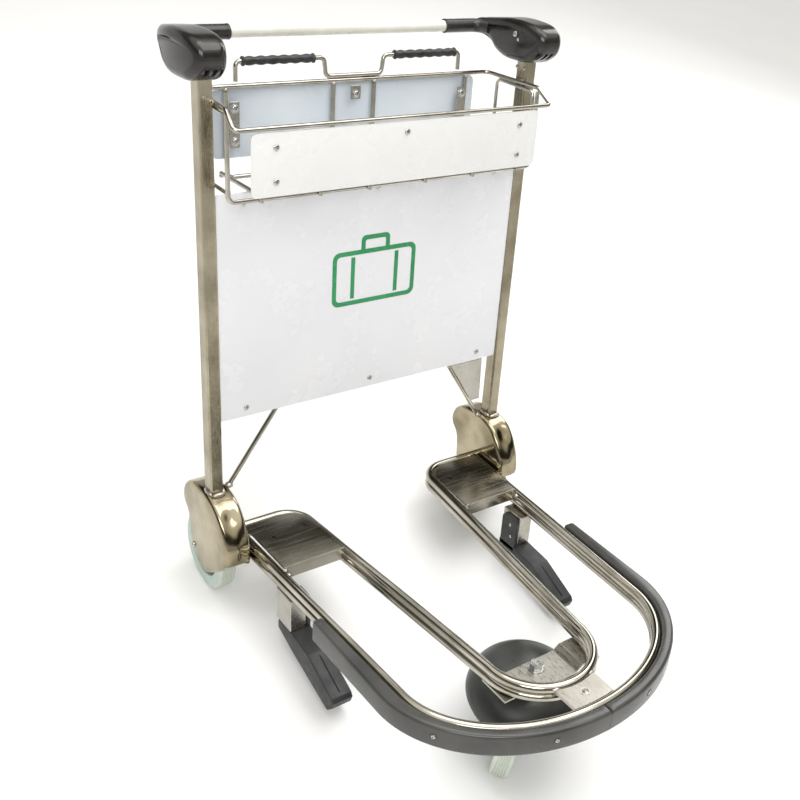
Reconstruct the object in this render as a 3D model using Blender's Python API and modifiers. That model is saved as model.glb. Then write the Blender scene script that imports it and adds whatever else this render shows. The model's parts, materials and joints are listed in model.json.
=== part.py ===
"""Airport luggage trolley: a three-wheeled stainless tube trolley with a basket and a brake handle.

Units are metres, +Z is up, and the trolley rolls forward along -Y. The whole welded frame is drawn
square in its own coordinates (X across, Y backwards along the base tubes, Z up along the uprights) and
hangs from one empty that leans it back, so that the loading base rises towards the front.
Left and right are as seen from the front.
"""

import math

import bmesh
import bpy
from mathutils import Matrix, Vector

# Stance
LEAN = math.radians(12)  # backward lean of the uprights, and slope of the base
FRAME_Y = 0.16875  # puts the middle of the overall length at Y = 0
FRAME_Z = 0.0054
GAP = 0.0003  # clearance between pieces that rest on each other
SIDES = (("left", -1), ("right", 1))

# Uprights
UPRIGHT_X = 0.318
UPRIGHT_WIDTH = 0.024
UPRIGHT_DEPTH = 0.0286
UPRIGHT_WALL = 0.002
UPRIGHT_FOOT_Z = 0.2135
UPRIGHT_TOP_Z = 0.997

# Handle and brake linkage
PIVOT_Y = 0.019
PIVOT_Z = 0.989
PIVOT_RADIUS = 0.003
ROD_Y = 0.0085
ROD_RADIUS = 0.0022
ROD_FOOT_Z = 0.1712
BAR_Y = 0.138
BAR_Z = 0.993
BAR_RADIUS = 0.010
BAR_HALF = 0.2135
SLEEVE_RADIUS = 0.0122
CASING_INNER_X = 0.293
CASING_OUTER_X = 0.355
CASING_TURN_Y = 0.050  # behind this the casing's outer side curves in to meet the sleeve
CASING_TAIL_Y = 0.155
CASING_TAIL_WIDTH = 0.018
CASING_PROFILE = (  # (Y, Z), from the front of the mouth round the tail
    (0.011, 0.949),
    (0.057, 0.949),
    (0.092, 0.958),
    (0.108, 0.974),
    (0.126, 0.977),
    (0.146, 0.980),
    (0.155, 0.992),
    (0.150, 1.005),
    (0.128, 1.010),
    (0.092, 1.015),
    (0.060, 1.020),
    (0.028, 1.022),
    (0.000, 1.022),
    (-0.038, 1.013),
    (-0.051, 1.000),
    (-0.051, 0.985),
    (-0.034, 0.970),
    (-0.016, 0.957),
)
SHOE_PIVOT_Y = -0.0235
SHOE_PIVOT_Z = 0.1685
SHOE_WIDTH = 0.020
SHOE_PROFILE = (
    (-0.030, 0.1655),
    (-0.020, 0.1625),
    (0.000, 0.1595),
    (0.030, 0.1592),
    (0.052, 0.1550),
    (0.056, 0.1590),
    (0.040, 0.1655),
    (0.016, 0.1690),
    (-0.018, 0.1745),
    (-0.030, 0.1725),
)

# Boards
PANEL_HALF = 0.3055
PANEL_BOTTOM = 0.358
PANEL_TOP = 0.7712
BOARD_THICKNESS = 0.003
BACK_BOARD_HALF = 0.265
BACK_BOARD_Y = 0.1015
FRONT_BOARD_HALF = 0.282
FRONT_BOARD_Y = -0.0735

# Basket wires
WIRE = 0.0039
RIM_Z = 0.916
RIM_FRONT_Z = 0.893
RIM_KNEE_X = 0.3055
RIM_KNEE_Y = -0.039
BASKET_BACK_Y = 0.096
BASKET_BACK_LOW_Z = 0.766
BACK_FRAME_X = 0.241
SIDE_WIRE = 0.0034
SIDE_LOOP_X = 0.3005
SIDE_LOOP_REAR_Y = 0.073
SIDE_LOOP_FRONT_Y = -0.0333
SIDE_LOOP_TOP = 0.908
SIDE_LOOP_BOTTOM = 0.784
HOOP_X = 0.3045
HOOP_Y = -0.041
HOOP_TOP = 0.906
HOOP_BOTTOM = 0.772
FLOOR_WIRES_X = (-0.2505, -0.144, -0.0505, 0.063, 0.1665, 0.270)

# Base tubes, two high
TUBE = 0.00885
TUBE_LEVELS = (("upper", 0.116), ("lower", 0.098))
OUTER_X = 0.2785  # half spacing of the outer tubes at Y = 0
OUTER_TAPER = 0.0436
OUTER_NOSE_Y = -0.520
OUTER_NOSE_LENGTH = 0.187
INNER_REAR_X = 0.1495
INNER_REAR_Y = 0.012
INNER_NOSE_X = 0.099
INNER_NOSE_Y = -0.545
INNER_CORNER = 0.052

# Bumper round the nose
BUMPER_START_Y = -0.306
BUMPER_TOP = 0.128
BUMPER_BOTTOM = 0.085
BUMPER_SIDE = 0.292
BUMPER_NOSE_Y = -0.506
BUMPER_NOSE_LENGTH = 0.231

# Escalator feet
FOOT_INNER_X = 0.2375
FOOT_OUTER_X = 0.2785
FOOT_PROFILE = (
    (-0.158, 0.0),
    (-0.206, -0.018),
    (-0.338, -0.058),
    (-0.352, -0.044),
    (-0.357, -0.030),
    (-0.352, -0.022),
    (-0.268, 0.014),
    (-0.206, 0.020),
    (-0.158, 0.020),
)
FOOT_CHEEK_WIDTH = 0.009
FOOT_CHEEK_PROFILE = (
    (-0.160, 0.010),
    (-0.206, 0.010),
    (-0.206, 0.075),
    (-0.198, 0.0862),
    (-0.168, 0.0862),
    (-0.160, 0.075),
)

# Deck plates
PLATE_TOP = 0.129
PLATE_THICKNESS = 0.0036
PLATE_INNER_X = 0.141
PLATE_OUTER_X = 0.2705
PLATE_REAR_Y = -0.006
PLATE_FRONT_Y = -0.158

# Rear wheels, whose centres are level with the ground
WHEEL_RADIUS = 0.075
WHEEL_X = 0.322
WHEEL_WIDTH = 0.030
WHEEL_Y = 0.0425  # along the ground, from the frame empty
HUB_RADIUS = 0.049
AXLE_RADIUS = 0.0055
HOUSING_INNER_X = 0.2885
HOUSING_OUTER_X = 0.3405
HOUSING_WALL = 0.002
HOUSING_PROFILE = (  # (Y, Z), from the bottom round the back
    (0.012, 0.032),
    (0.032, 0.027),
    (0.050, 0.043),
    (0.073, 0.058),
    (0.081, 0.084),
    (0.084, 0.110),
    (0.088, 0.132),
    (0.104, 0.148),
    (0.108, 0.168),
    (0.098, 0.190),
    (0.072, 0.208),
    (0.040, 0.2132),
    (0.000, 0.2132),
    (-0.030, 0.203),
    (-0.050, 0.184),
    (-0.066, 0.156),
    (-0.074, 0.128),
    (-0.076, 0.104),
    (-0.066, 0.088),
    (-0.045, 0.070),
    (-0.020, 0.052),
)
HOUSING_MIDDLE = (0.016, 0.124)

# Front caster
KINGPIN_Y = -0.556
BRACKET_Z = 0.0785
CASTER_HEADING = math.radians(-52)  # the axle's direction, from +X towards the front
CASTER_TRAIL = 0.058
CASTER_RADIUS = 0.064
CASTER_WIDTH = 0.034
HOOD_RADIUS = 0.108
HOOD_DROP = 0.062
CHEEK_THICKNESS = 0.003


def clear_scene():
    for obj in list(bpy.data.objects):
        bpy.data.objects.remove(obj, do_unlink=True)


def collection(name):
    made = bpy.data.collections.new(name)
    bpy.context.scene.collection.children.link(made)
    return made


def material(name, color, roughness, metallic=0.0):
    made = bpy.data.materials.new(name)
    made.use_nodes = True
    shader = made.node_tree.nodes["Principled BSDF"]
    shader.inputs["Base Color"].default_value = (*color, 1)
    shader.inputs["Roughness"].default_value = roughness
    shader.inputs["Metallic"].default_value = metallic
    made.diffuse_color = (*color, 1)
    return made


clear_scene()
PARTS = collection("luggage_trolley")
CUTTERS = collection("cutters")
STAINLESS = material("stainless", (0.62, 0.60, 0.56), 0.25, 1.0)
POLISHED = material("polished_steel", (0.66, 0.63, 0.57), 0.15, 1.0)
ZINC = material("zinc_plated", (0.55, 0.55, 0.56), 0.35, 1.0)
WHITE_BOARD = material("white_board", (0.78, 0.79, 0.82), 0.35)
PALE_BOARD = material("pale_board", (0.66, 0.72, 0.82), 0.4)
CREAM = material("cream_tube", (0.80, 0.78, 0.70), 0.4)
BLACK = material("black_plastic", (0.03, 0.03, 0.03), 0.2)
GREY = material("bumper_plastic", (0.10, 0.10, 0.105), 0.4)
RUBBER = material("black_rubber", (0.04, 0.045, 0.045), 0.6)
TYRE = material("pale_tyre", (0.62, 0.66, 0.60), 0.55)


def empty(name, location, rotation=(0, 0, 0), parent=None):
    made = bpy.data.objects.new(name, None)
    made.location = location
    made.rotation_euler = rotation
    made.parent = parent
    PARTS.objects.link(made)
    return made


FRAME = empty("frame", (0, FRAME_Y, FRAME_Z), (-LEAN, 0, 0))
HANDLE = empty("handle_axis", (0, PIVOT_Y, PIVOT_Z), parent=FRAME)


def hang(obj, pivot):
    """Moves a piece from the frame to a pivot in it, without moving its shape."""
    obj.parent = pivot
    obj.location = obj.location - pivot.location
    return obj


def place(obj, mat=None, parent=FRAME):
    """Puts a piece in the assembly, or, with no material, among the cutters."""
    if mat is None:
        CUTTERS.objects.link(obj)
        obj.hide_render = True
        obj.display_type = "WIRE"
    else:
        PARTS.objects.link(obj)
        obj.data.materials.append(mat)
    obj.parent = parent
    return obj


def finish(mesh_object, bevel=0.0, segments=2, angle=30):
    if bevel:
        modifier = mesh_object.modifiers.new("bevel", "BEVEL")
        modifier.width = bevel
        modifier.segments = segments
        modifier.limit_method = "ANGLE"
        modifier.angle_limit = math.radians(angle)
    mesh_object.data.shade_smooth()
    mesh_object.data.set_sharp_from_angle(angle=math.radians(40))
    return mesh_object


def box(name, low, high, mat=None, bevel=0.0, parent=FRAME, segments=1):
    """A box between two corners, with its origin at its middle."""
    low, high = Vector(low), Vector(high)
    mesh = bpy.data.meshes.new(name)
    shape = bmesh.new()
    bmesh.ops.create_cube(shape, size=1, matrix=Matrix.Diagonal((*(high - low), 1)))
    shape.to_mesh(mesh)
    shape.free()
    made = place(bpy.data.objects.new(name, mesh), mat, parent)
    made.location = (low + high) / 2
    return finish(made, bevel, segments)


AXIS_TURN = {
    "X": Matrix(((0, 0, 1), (1, 0, 0), (0, 1, 0))),
    "Y": Matrix(((1, 0, 0), (0, 0, -1), (0, 1, 0))),
    "Z": Matrix.Identity(3),
}


def cylinder(name, radius, depth, middle, axis, mat=None, parent=FRAME, sides=20):
    """A cylinder about an axis, named X, Y or Z."""
    mesh = bpy.data.meshes.new(name)
    shape = bmesh.new()
    bmesh.ops.create_cone(shape, cap_ends=True, segments=sides, radius1=radius, radius2=radius, depth=depth)
    shape.to_mesh(mesh)
    shape.free()
    made = place(bpy.data.objects.new(name, mesh), mat, parent)
    made.location = middle
    made.rotation_euler = AXIS_TURN[axis].to_euler()
    return finish(made)


def turned(name, profile, middle, axis, mat=None, parent=FRAME, steps=24):
    """A solid of revolution about an axis. The profile holds (radius, height) from top to bottom."""
    mesh = bpy.data.meshes.new(name)
    points = [(radius, 0, height) for radius, height in profile]
    mesh.from_pydata(points, [(i, i + 1) for i in range(len(points) - 1)], [])
    made = place(bpy.data.objects.new(name, mesh), mat, parent)
    made.location = middle
    made.rotation_euler = AXIS_TURN[axis].to_euler()
    screw = made.modifiers.new("turn", "SCREW")
    screw.steps = screw.render_steps = steps
    screw.use_merge_vertices = True
    screw.merge_threshold = 0.00001
    screw.use_smooth_shade = True
    return made


def rounded(points, radius, steps=3, closed=False):
    """A path with its corners replaced by arcs. A radius may be one number or one for each point."""
    points = [Vector(point) for point in points]
    path = []
    for index, corner in enumerate(points):
        size = radius[index] if isinstance(radius, (list, tuple)) else radius
        if (not closed and index in (0, len(points) - 1)) or not size:
            path.append(corner)
            continue
        before = (points[index - 1] - corner).normalized()
        after = (points[(index + 1) % len(points)] - corner).normalized()
        half = before.angle(after) / 2
        centre = corner + (before + after).normalized() * size / math.sin(half)
        start = corner + before * size / math.tan(half) - centre
        end = corner + after * size / math.tan(half) - centre
        turn = Matrix.Rotation(start.angle(end) / steps, 3, start.cross(end))
        for _ in range(steps + 1):
            path.append(centre + start)
            start = turn @ start
    return path


def arc(middle, radius_x, radius_y, start, end, steps):
    """Points along an elliptic arc in the XY plane, angles in degrees."""
    points = []
    for step in range(steps + 1):
        angle = math.radians(start + (end - start) * step / steps)
        x = middle[0] + radius_x * math.cos(angle)
        y = middle[1] + radius_y * math.sin(angle)
        points.append(Vector((x, y, middle[2])))
    return points


def wire(name, points, radius, mat=None, closed=False, resolution=1, parent=FRAME):
    """A round bar or tube along a path."""
    curve = bpy.data.curves.new(name, "CURVE")
    curve.dimensions = "3D"
    spline = curve.splines.new("POLY")
    spline.points.add(len(points) - 1)
    for target, point in zip(spline.points, points):
        target.co = (*point, 1)
    spline.use_cyclic_u = closed
    curve.bevel_depth = radius
    curve.bevel_resolution = resolution
    curve.use_fill_caps = True
    return place(bpy.data.objects.new(name, curve), mat, parent)


def plate(name, outline, thickness, middle, axis, mat=None, holes=(), bevel=0.0, parent=FRAME, segments=2):
    """A flat piece. The outline is (X, Y) for axis Z, (X, Z) for axis Y and (Y, Z) for axis X."""
    curve = bpy.data.curves.new(name, "CURVE")
    curve.dimensions = "2D"
    curve.fill_mode = "BOTH"
    curve.extrude = thickness / 2
    for loop in (outline, *holes):
        spline = curve.splines.new("POLY")
        spline.points.add(len(loop) - 1)
        for target, point in zip(spline.points, loop):
            target.co = (point[0], point[1], 0, 1)
        spline.use_cyclic_u = True
    made = place(bpy.data.objects.new(name, curve), mat, parent)
    made.location = middle
    made.rotation_euler = AXIS_TURN[axis].to_euler()
    return finish(as_mesh(made), bevel, segments)


def as_mesh(obj):
    """The same piece with its curve turned into a closed mesh."""
    bpy.context.view_layer.update()
    graph = bpy.context.evaluated_depsgraph_get()
    mesh = bpy.data.meshes.new_from_object(obj.evaluated_get(graph))
    shape = bmesh.new()
    shape.from_mesh(mesh)
    bmesh.ops.remove_doubles(shape, verts=shape.verts, dist=0.000002)
    bmesh.ops.recalc_face_normals(shape, faces=shape.faces)
    shape.to_mesh(mesh)
    shape.free()
    made = bpy.data.objects.new("solid", mesh)
    for owner in obj.users_collection:
        owner.objects.link(made)
    made.parent = obj.parent
    made.location = obj.location
    made.rotation_euler = obj.rotation_euler
    made.hide_render = obj.hide_render
    made.display_type = obj.display_type
    name = obj.name
    bpy.data.objects.remove(obj)
    made.name = name
    mesh.name = name
    return made


def boolean(target, operand, operation, solver="EXACT"):
    modifier = target.modifiers.new(operation.lower(), "BOOLEAN")
    modifier.operation = operation
    modifier.object = operand
    modifier.solver = solver


def cut(target, *cutters, solver="EXACT"):
    for cutter in cutters:
        boolean(target, cutter, "DIFFERENCE", solver)
    return target


def join(target, *others):
    for other in others:
        boolean(target, other, "UNION")
    return target


def rectangle(half_x, low, high, radius=0.0, steps=3):
    corners = [(-half_x, low, 0), (half_x, low, 0), (half_x, high, 0), (-half_x, high, 0)]
    return [tuple(point[:2]) for point in rounded(corners, radius, steps, closed=True)]


def circle(middle, radius, sides=12):
    return [tuple(point[:2]) for point in arc((*middle, 0), radius, radius, 0, 360, sides)[:-1]]


def mirrored(points, side):
    return [Vector((point[0] * side, *point[1:])) for point in points]


# ---------------------------------------------------------------- uprights, handle and brake linkage


def upright(side_name, side):
    half_x, half_y = UPRIGHT_WIDTH / 2, UPRIGHT_DEPTH / 2
    outer = rounded(
        [(-half_x, -half_y, 0), (half_x, -half_y, 0), (half_x, half_y, 0), (-half_x, half_y, 0)],
        0.003,
        2,
        closed=True,
    )
    inset_x, inset_y = half_x - UPRIGHT_WALL, half_y - UPRIGHT_WALL
    inner = [(-inset_x, -inset_y), (inset_x, -inset_y), (inset_x, inset_y), (-inset_x, inset_y)]
    middle = (side * UPRIGHT_X, half_y, (UPRIGHT_FOOT_Z + UPRIGHT_TOP_Z) / 2)
    tube = plate(
        f"upright_{side_name}",
        [tuple(point[:2]) for point in outer],
        UPRIGHT_TOP_Z - UPRIGHT_FOOT_Z,
        middle,
        "Z",
        STAINLESS,
        holes=[inner],
    )
    pivot = (side * UPRIGHT_X, PIVOT_Y, PIVOT_Z)
    hole = cylinder(f"pivot_hole_{side_name}", PIVOT_RADIUS + 0.0001, 0.04, pivot, "X", sides=16)
    cut(tube, hole)


def handle_casing(side_name, side):
    """A moulded end that turns on the top of its upright and carries the end of the handle bar."""
    middle_x = side * (CASING_INNER_X + CASING_OUTER_X) / 2
    width = CASING_OUTER_X - CASING_INNER_X
    casing = plate(f"handle_casing_{side_name}", CASING_PROFILE, width, (middle_x, 0, 0), "X", BLACK)
    outer = 0.5 * width * side
    for vertex in casing.data.vertices:
        # In the mesh, X is the frame's Y and Z is the frame's X.
        past = (vertex.co.x - CASING_TURN_Y) / (CASING_TAIL_Y - CASING_TURN_Y)
        if past > 0 and vertex.co.z * side > 0:
            reach = CASING_TAIL_WIDTH + (width - CASING_TAIL_WIDTH) * math.sqrt(max(0.0, 1 - past**2))
            vertex.co.z = outer - side * (width - reach)
    finish(casing, bevel=0.009, segments=2, angle=60)
    mouth = box(f"casing_mouth_{side_name}", (-0.0165, -0.017, 0.93), (0.0165, 0.047, 1.004))
    mouth.location = (side * UPRIGHT_X, 0.015, 0.967)
    pivot = (side * UPRIGHT_X, PIVOT_Y, PIVOT_Z)
    bore = cylinder(f"casing_bore_{side_name}", PIVOT_RADIUS + 0.0002, 0.0475, pivot, "X", sides=16)
    hang(cut(casing, mouth, bore, solver="MANIFOLD"), HANDLE)


def handle_side(side_name, side):
    sleeve = wire(
        f"handle_sleeve_{side_name}",
        mirrored([(BAR_HALF + GAP, BAR_Y, BAR_Z), (CASING_INNER_X - GAP, BAR_Y, BAR_Z)], side),
        SLEEVE_RADIUS,
        BLACK,
        resolution=4,
    )
    hang(sleeve, HANDLE)
    handle_casing(side_name, side)
    pivot = (side * UPRIGHT_X, PIVOT_Y, PIVOT_Z)
    cylinder(f"handle_pivot_{side_name}", PIVOT_RADIUS, 0.046, pivot, "X", ZINC, sides=16)
    wire(
        f"brake_rod_{side_name}",
        [(side * UPRIGHT_X, ROD_Y, ROD_FOOT_Z), (side * UPRIGHT_X, ROD_Y, 0.998)],
        ROD_RADIUS,
        ZINC,
        resolution=2,
    )


def handle_bar():
    ends = [(-BAR_HALF, BAR_Y, BAR_Z), (BAR_HALF, BAR_Y, BAR_Z)]
    hang(wire("handle_bar", ends, BAR_RADIUS, CREAM, resolution=4), HANDLE)


def brake_shoe(side_name, side):
    """A lever over the tyre. The rod's foot rests in its slot, and its rear end presses the tread."""
    axis_place = (side * WHEEL_X, SHOE_PIVOT_Y, SHOE_PIVOT_Z)
    pivot = empty(f"brake_shoe_axis_{side_name}", axis_place, parent=FRAME)
    shoe = plate(f"brake_shoe_{side_name}", SHOE_PROFILE, SHOE_WIDTH, (side * WHEEL_X, 0, 0), "X", RUBBER)
    hang(shoe, pivot)


# ---------------------------------------------------------------- boards


def boards():
    plate(
        "main_panel",
        rectangle(PANEL_HALF, PANEL_BOTTOM, PANEL_TOP, 0.004, 2),
        BOARD_THICKNESS,
        (0, 0.0045, 0),
        "Y",
        WHITE_BOARD,
    )
    plate(
        "back_board",
        rectangle(BACK_BOARD_HALF, 0.797, 0.9105, 0.012),
        BOARD_THICKNESS,
        (0, BACK_BOARD_Y + BOARD_THICKNESS / 2, 0),
        "Y",
        PALE_BOARD,
    )
    plate(
        "front_board",
        rectangle(FRONT_BOARD_HALF, 0.786, 0.887, 0.010),
        BOARD_THICKNESS,
        (0, FRONT_BOARD_Y - BOARD_THICKNESS / 2, 0),
        "Y",
        WHITE_BOARD,
    )
    for side_name, side in SIDES:
        x = side * 0.229
        low, high = (x - 0.009, 0.0885, 0.817), (x + 0.009, 0.0905, 0.893)
        box(f"board_strap_{side_name}", low, high, STAINLESS, 0.0006)
    box("board_clip", (-0.010, 0.0885, 0.884), (0.010, 0.0905, 0.9075), STAINLESS, 0.0006)


# ---------------------------------------------------------------- basket


def basket_side(side_name, side):
    """The closed side loop, which hangs under the rim, and one upright wire of the back."""
    corners = [
        (SIDE_LOOP_X, SIDE_LOOP_REAR_Y, SIDE_LOOP_TOP),
        (SIDE_LOOP_X, SIDE_LOOP_REAR_Y, SIDE_LOOP_BOTTOM),
        (SIDE_LOOP_X, SIDE_LOOP_FRONT_Y, SIDE_LOOP_BOTTOM),
        (SIDE_LOOP_X, SIDE_LOOP_FRONT_Y, SIDE_LOOP_TOP),
    ]
    loop = rounded(mirrored(corners, side), 0.012, 3, closed=True)
    wire(f"basket_side_frame_{side_name}", loop, SIDE_WIRE, STAINLESS, closed=True)
    x = side * 0.041
    foot = (x, BASKET_BACK_Y, BASKET_BACK_LOW_Z + 2 * WIRE + GAP)
    head = (x, BASKET_BACK_Y, RIM_Z - 2 * WIRE - GAP)
    wire(f"basket_back_wire_{side_name}", [foot, head], WIRE, STAINLESS)


def basket_floor():
    """The front hoop, hung from the knees of the rim, and the floor wires welded over it."""
    hoop = rounded(
        [
            (-HOOP_X, HOOP_Y, HOOP_TOP),
            (-HOOP_X, HOOP_Y, HOOP_BOTTOM),
            (HOOP_X, HOOP_Y, HOOP_BOTTOM),
            (HOOP_X, HOOP_Y, HOOP_TOP),
        ],
        0.012,
    )
    floor = as_mesh(wire("basket_floor_wires", hoop, WIRE, STAINLESS))
    rear_y, rear_z = BASKET_BACK_Y + 0.002, BASKET_BACK_LOW_Z + 2 * WIRE + GAP
    hook_y, front_z = HOOP_Y - 1.7 * WIRE, HOOP_BOTTOM + 1.6 * WIRE
    for number, x in enumerate(FLOOR_WIRES_X, 1):
        path = rounded([(x, rear_y, rear_z), (x, hook_y, front_z), (x, hook_y, front_z - 0.0095)], 0.004, 2)
        join(floor, as_mesh(wire(f"floor_wire_{number}", path, WIRE)))


def basket():
    rim = rounded(
        [
            (-0.292, BASKET_BACK_Y, RIM_Z),
            (0.292, BASKET_BACK_Y, RIM_Z),
            (RIM_KNEE_X, RIM_KNEE_Y, RIM_Z),
            (0.309, -0.0745, RIM_FRONT_Z),
            (-0.309, -0.0745, RIM_FRONT_Z),
            (-RIM_KNEE_X, RIM_KNEE_Y, RIM_Z),
        ],
        [0.012, 0.012, 0.012, 0.008, 0.008, 0.012],
        3,
        closed=True,
    )
    wire("basket_rim", rim, WIRE, STAINLESS, closed=True)
    top = RIM_Z - 2 * WIRE - GAP
    back = rounded(
        [
            (-BACK_FRAME_X, BASKET_BACK_Y, top),
            (-BACK_FRAME_X, BASKET_BACK_Y, BASKET_BACK_LOW_Z),
            (BACK_FRAME_X, BASKET_BACK_Y, BASKET_BACK_LOW_Z),
            (BACK_FRAME_X, BASKET_BACK_Y, top),
        ],
        0.012,
    )
    wire("basket_back_frame", back, WIRE, STAINLESS)
    for side_name, side in SIDES:
        basket_side(side_name, side)
    basket_floor()


def carry_handle():
    y = BASKET_BACK_Y
    foot_z = RIM_Z + 2 * WIRE + GAP
    path = rounded(
        [
            (-0.223, y, foot_z),
            (-0.223, y, 0.955),
            (-0.0605, y, 0.955),
            (-0.0565, y, foot_z),
            (0.0545, y, foot_z),
            (0.0585, y, 0.955),
            (0.221, y, 0.955),
            (0.221, y, foot_z),
        ],
        0.009,
    )
    wire("carry_handle_wire", path, WIRE, STAINLESS)
    for side_name, side in SIDES:
        x = side * 0.146
        ends = [(x - 0.066, y, 0.955), (x + 0.066, y, 0.955)]
        grip = as_mesh(wire(f"carry_grip_{side_name}", ends, 0.0068, RUBBER, resolution=3))
        bore = cylinder(f"grip_bore_{side_name}", WIRE + GAP, 0.2, (x, y, 0.955), "X", sides=12)
        cut(grip, bore)


# ---------------------------------------------------------------- base


def outer_x(y):
    return OUTER_X + OUTER_TAPER * y


def outer_path(z):
    nose_x = outer_x(OUTER_NOSE_Y)
    path = [Vector((-outer_x(INNER_REAR_Y - 0.0095), INNER_REAR_Y - 0.0095, z))]
    path += arc((0, OUTER_NOSE_Y, z), nose_x, OUTER_NOSE_LENGTH, 180, 360, 24)
    path += [Vector((outer_x(INNER_REAR_Y - 0.0095), INNER_REAR_Y - 0.0095, z))]
    return path


def inner_path(z):
    end_x = HOUSING_INNER_X - 2 * GAP
    half = rounded(
        [(-end_x, INNER_REAR_Y, z), (-INNER_REAR_X, INNER_REAR_Y, z), (-INNER_NOSE_X, INNER_NOSE_Y, z)],
        INNER_CORNER,
        5,
    )[:-1]
    nose = arc((0, INNER_NOSE_Y, z), INNER_NOSE_X, INNER_NOSE_X, 180, 360, 18)
    return half + nose + [Vector((-point.x, point.y, point.z)) for point in reversed(half)]


def base_tubes():
    for level, z in TUBE_LEVELS:
        wire(f"outer_tube_{level}", outer_path(z), TUBE, STAINLESS, resolution=2)
        wire(f"inner_tube_{level}", inner_path(z), TUBE, STAINLESS, resolution=2)


def deck_plate(side_name, side):
    corners = [
        (side * PLATE_INNER_X, PLATE_FRONT_Y, 0),
        (side * (PLATE_OUTER_X - 0.004), PLATE_FRONT_Y, 0),
        (side * PLATE_OUTER_X, PLATE_REAR_Y, 0),
        (side * (PLATE_INNER_X + 0.006), PLATE_REAR_Y, 0),
    ]
    outline = [tuple(point[:2]) for point in rounded(corners, [0.004, 0.004, 0.004, 0.048], 5, closed=True)]
    holes = [circle((side * 0.2395, -0.066), 0.0035, 10), circle((side * 0.170, -0.060), 0.0035, 10)]
    deck = plate(
        f"deck_plate_{side_name}",
        outline,
        PLATE_THICKNESS,
        (0, 0, PLATE_TOP - PLATE_THICKNESS / 2),
        "Z",
        STAINLESS,
        holes=holes,
    )
    low, high = sorted((side * 0.1475, side * 0.2595))
    flange = box(
        f"deck_flange_{side_name}",
        (low, PLATE_FRONT_Y, 0.104),
        (high, PLATE_FRONT_Y + 0.003, PLATE_TOP - 0.001),
    )
    join(deck, flange)


def nose_ellipse(radius_x, radius_y, middle_y, half_width, steps):
    """Points on the front of an ellipse between +half_width and -half_width."""
    limit = math.degrees(math.acos(half_width / radius_x))
    points = arc((0, middle_y, 0), radius_x, radius_y, 360 - limit, 180 + limit, steps)
    return [tuple(point[:2]) for point in points]


def tie_and_bracket():
    half = 0.042
    inner_clear = INNER_NOSE_X + TUBE + 0.0006
    outer_clear_x = outer_x(OUTER_NOSE_Y) - TUBE - 0.0006
    outer_clear_y = OUTER_NOSE_LENGTH - TUBE - 0.0006
    rear = nose_ellipse(inner_clear, inner_clear, INNER_NOSE_Y, half, 6)
    front = nose_ellipse(outer_clear_x, outer_clear_y, OUTER_NOSE_Y, half, 4)
    plate(
        "tie_plate",
        front + rear[::-1],
        0.005,
        (0, 0, 0.1165),
        "Z",
        STAINLESS,
        holes=[circle((0, -0.673), 0.007, 12)],
    )
    low, high = BRACKET_Z - 0.004, BRACKET_Z
    top = TUBE_LEVELS[1][1] - TUBE - GAP
    profile = [
        (-0.104, top - 0.004),
        (-0.066, top - 0.004),
        (-0.054, low),
        (0.054, low),
        (0.066, top - 0.004),
        (0.104, top - 0.004),
        (0.104, top),
        (0.0645, top),
        (0.0525, high),
        (-0.0525, high),
        (-0.0645, top),
        (-0.104, top),
    ]
    bracket = plate("caster_bracket", profile, 0.062, (0, -0.569, 0), "Y", STAINLESS)
    hole = cylinder("kingpin_hole", 0.0068, 0.03, (0, KINGPIN_Y, BRACKET_Z), "Z", sides=16)
    cut(bracket, hole)


def bumper_outline(side):
    """One half of the bumper: outside ellipse, then back along the middle of the tube ring."""
    outer = arc((0, BUMPER_NOSE_Y, 0), BUMPER_SIDE, BUMPER_NOSE_LENGTH, 360, 270, 14)
    clear = TUBE + 0.0006
    inner = arc(
        (0, OUTER_NOSE_Y, 0), outer_x(OUTER_NOSE_Y) + clear, OUTER_NOSE_LENGTH + clear, 270, 360, 14
    )
    start_x = outer_x(BUMPER_START_Y) + clear
    points = [Vector((start_x, BUMPER_START_Y, 0)), Vector((0.2945, BUMPER_START_Y, 0))] + outer + inner
    points = [Vector((max(point.x, GAP), point.y, 0)) for point in points]
    return [(point.x * side, point.y) for point in points]


def bumper(side_name, side):
    wall = plate(
        f"bumper_{side_name}",
        bumper_outline(side),
        BUMPER_TOP - BUMPER_BOTTOM,
        (0, 0, (BUMPER_TOP + BUMPER_BOTTOM) / 2),
        "Z",
        GREY,
        bevel=0.004,
        segments=2,
    )
    wall.modifiers["bevel"].angle_limit = math.radians(50)


def escalator_foot(side_name, side):
    foot = plate(
        f"escalator_foot_{side_name}",
        FOOT_PROFILE,
        FOOT_OUTER_X - FOOT_INNER_X,
        (side * (FOOT_INNER_X + FOOT_OUTER_X) / 2, 0, 0),
        "X",
        RUBBER,
    )
    middle_x = side * (FOOT_INNER_X + FOOT_CHEEK_WIDTH / 2)
    cheek = plate(f"foot_cheek_{side_name}", FOOT_CHEEK_PROFILE, FOOT_CHEEK_WIDTH, (middle_x, 0, 0), "X")
    join(foot, cheek)
    low, high = sorted((side * (FOOT_INNER_X + FOOT_CHEEK_WIDTH + 0.0005), side * FOOT_OUTER_X))
    top = TUBE_LEVELS[1][1] - TUBE - GAP
    box(f"foot_bracket_{side_name}", (low, -0.205, 0.0203), (high, -0.152, top), STAINLESS, 0.0012)


# ---------------------------------------------------------------- rear wheels

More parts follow.
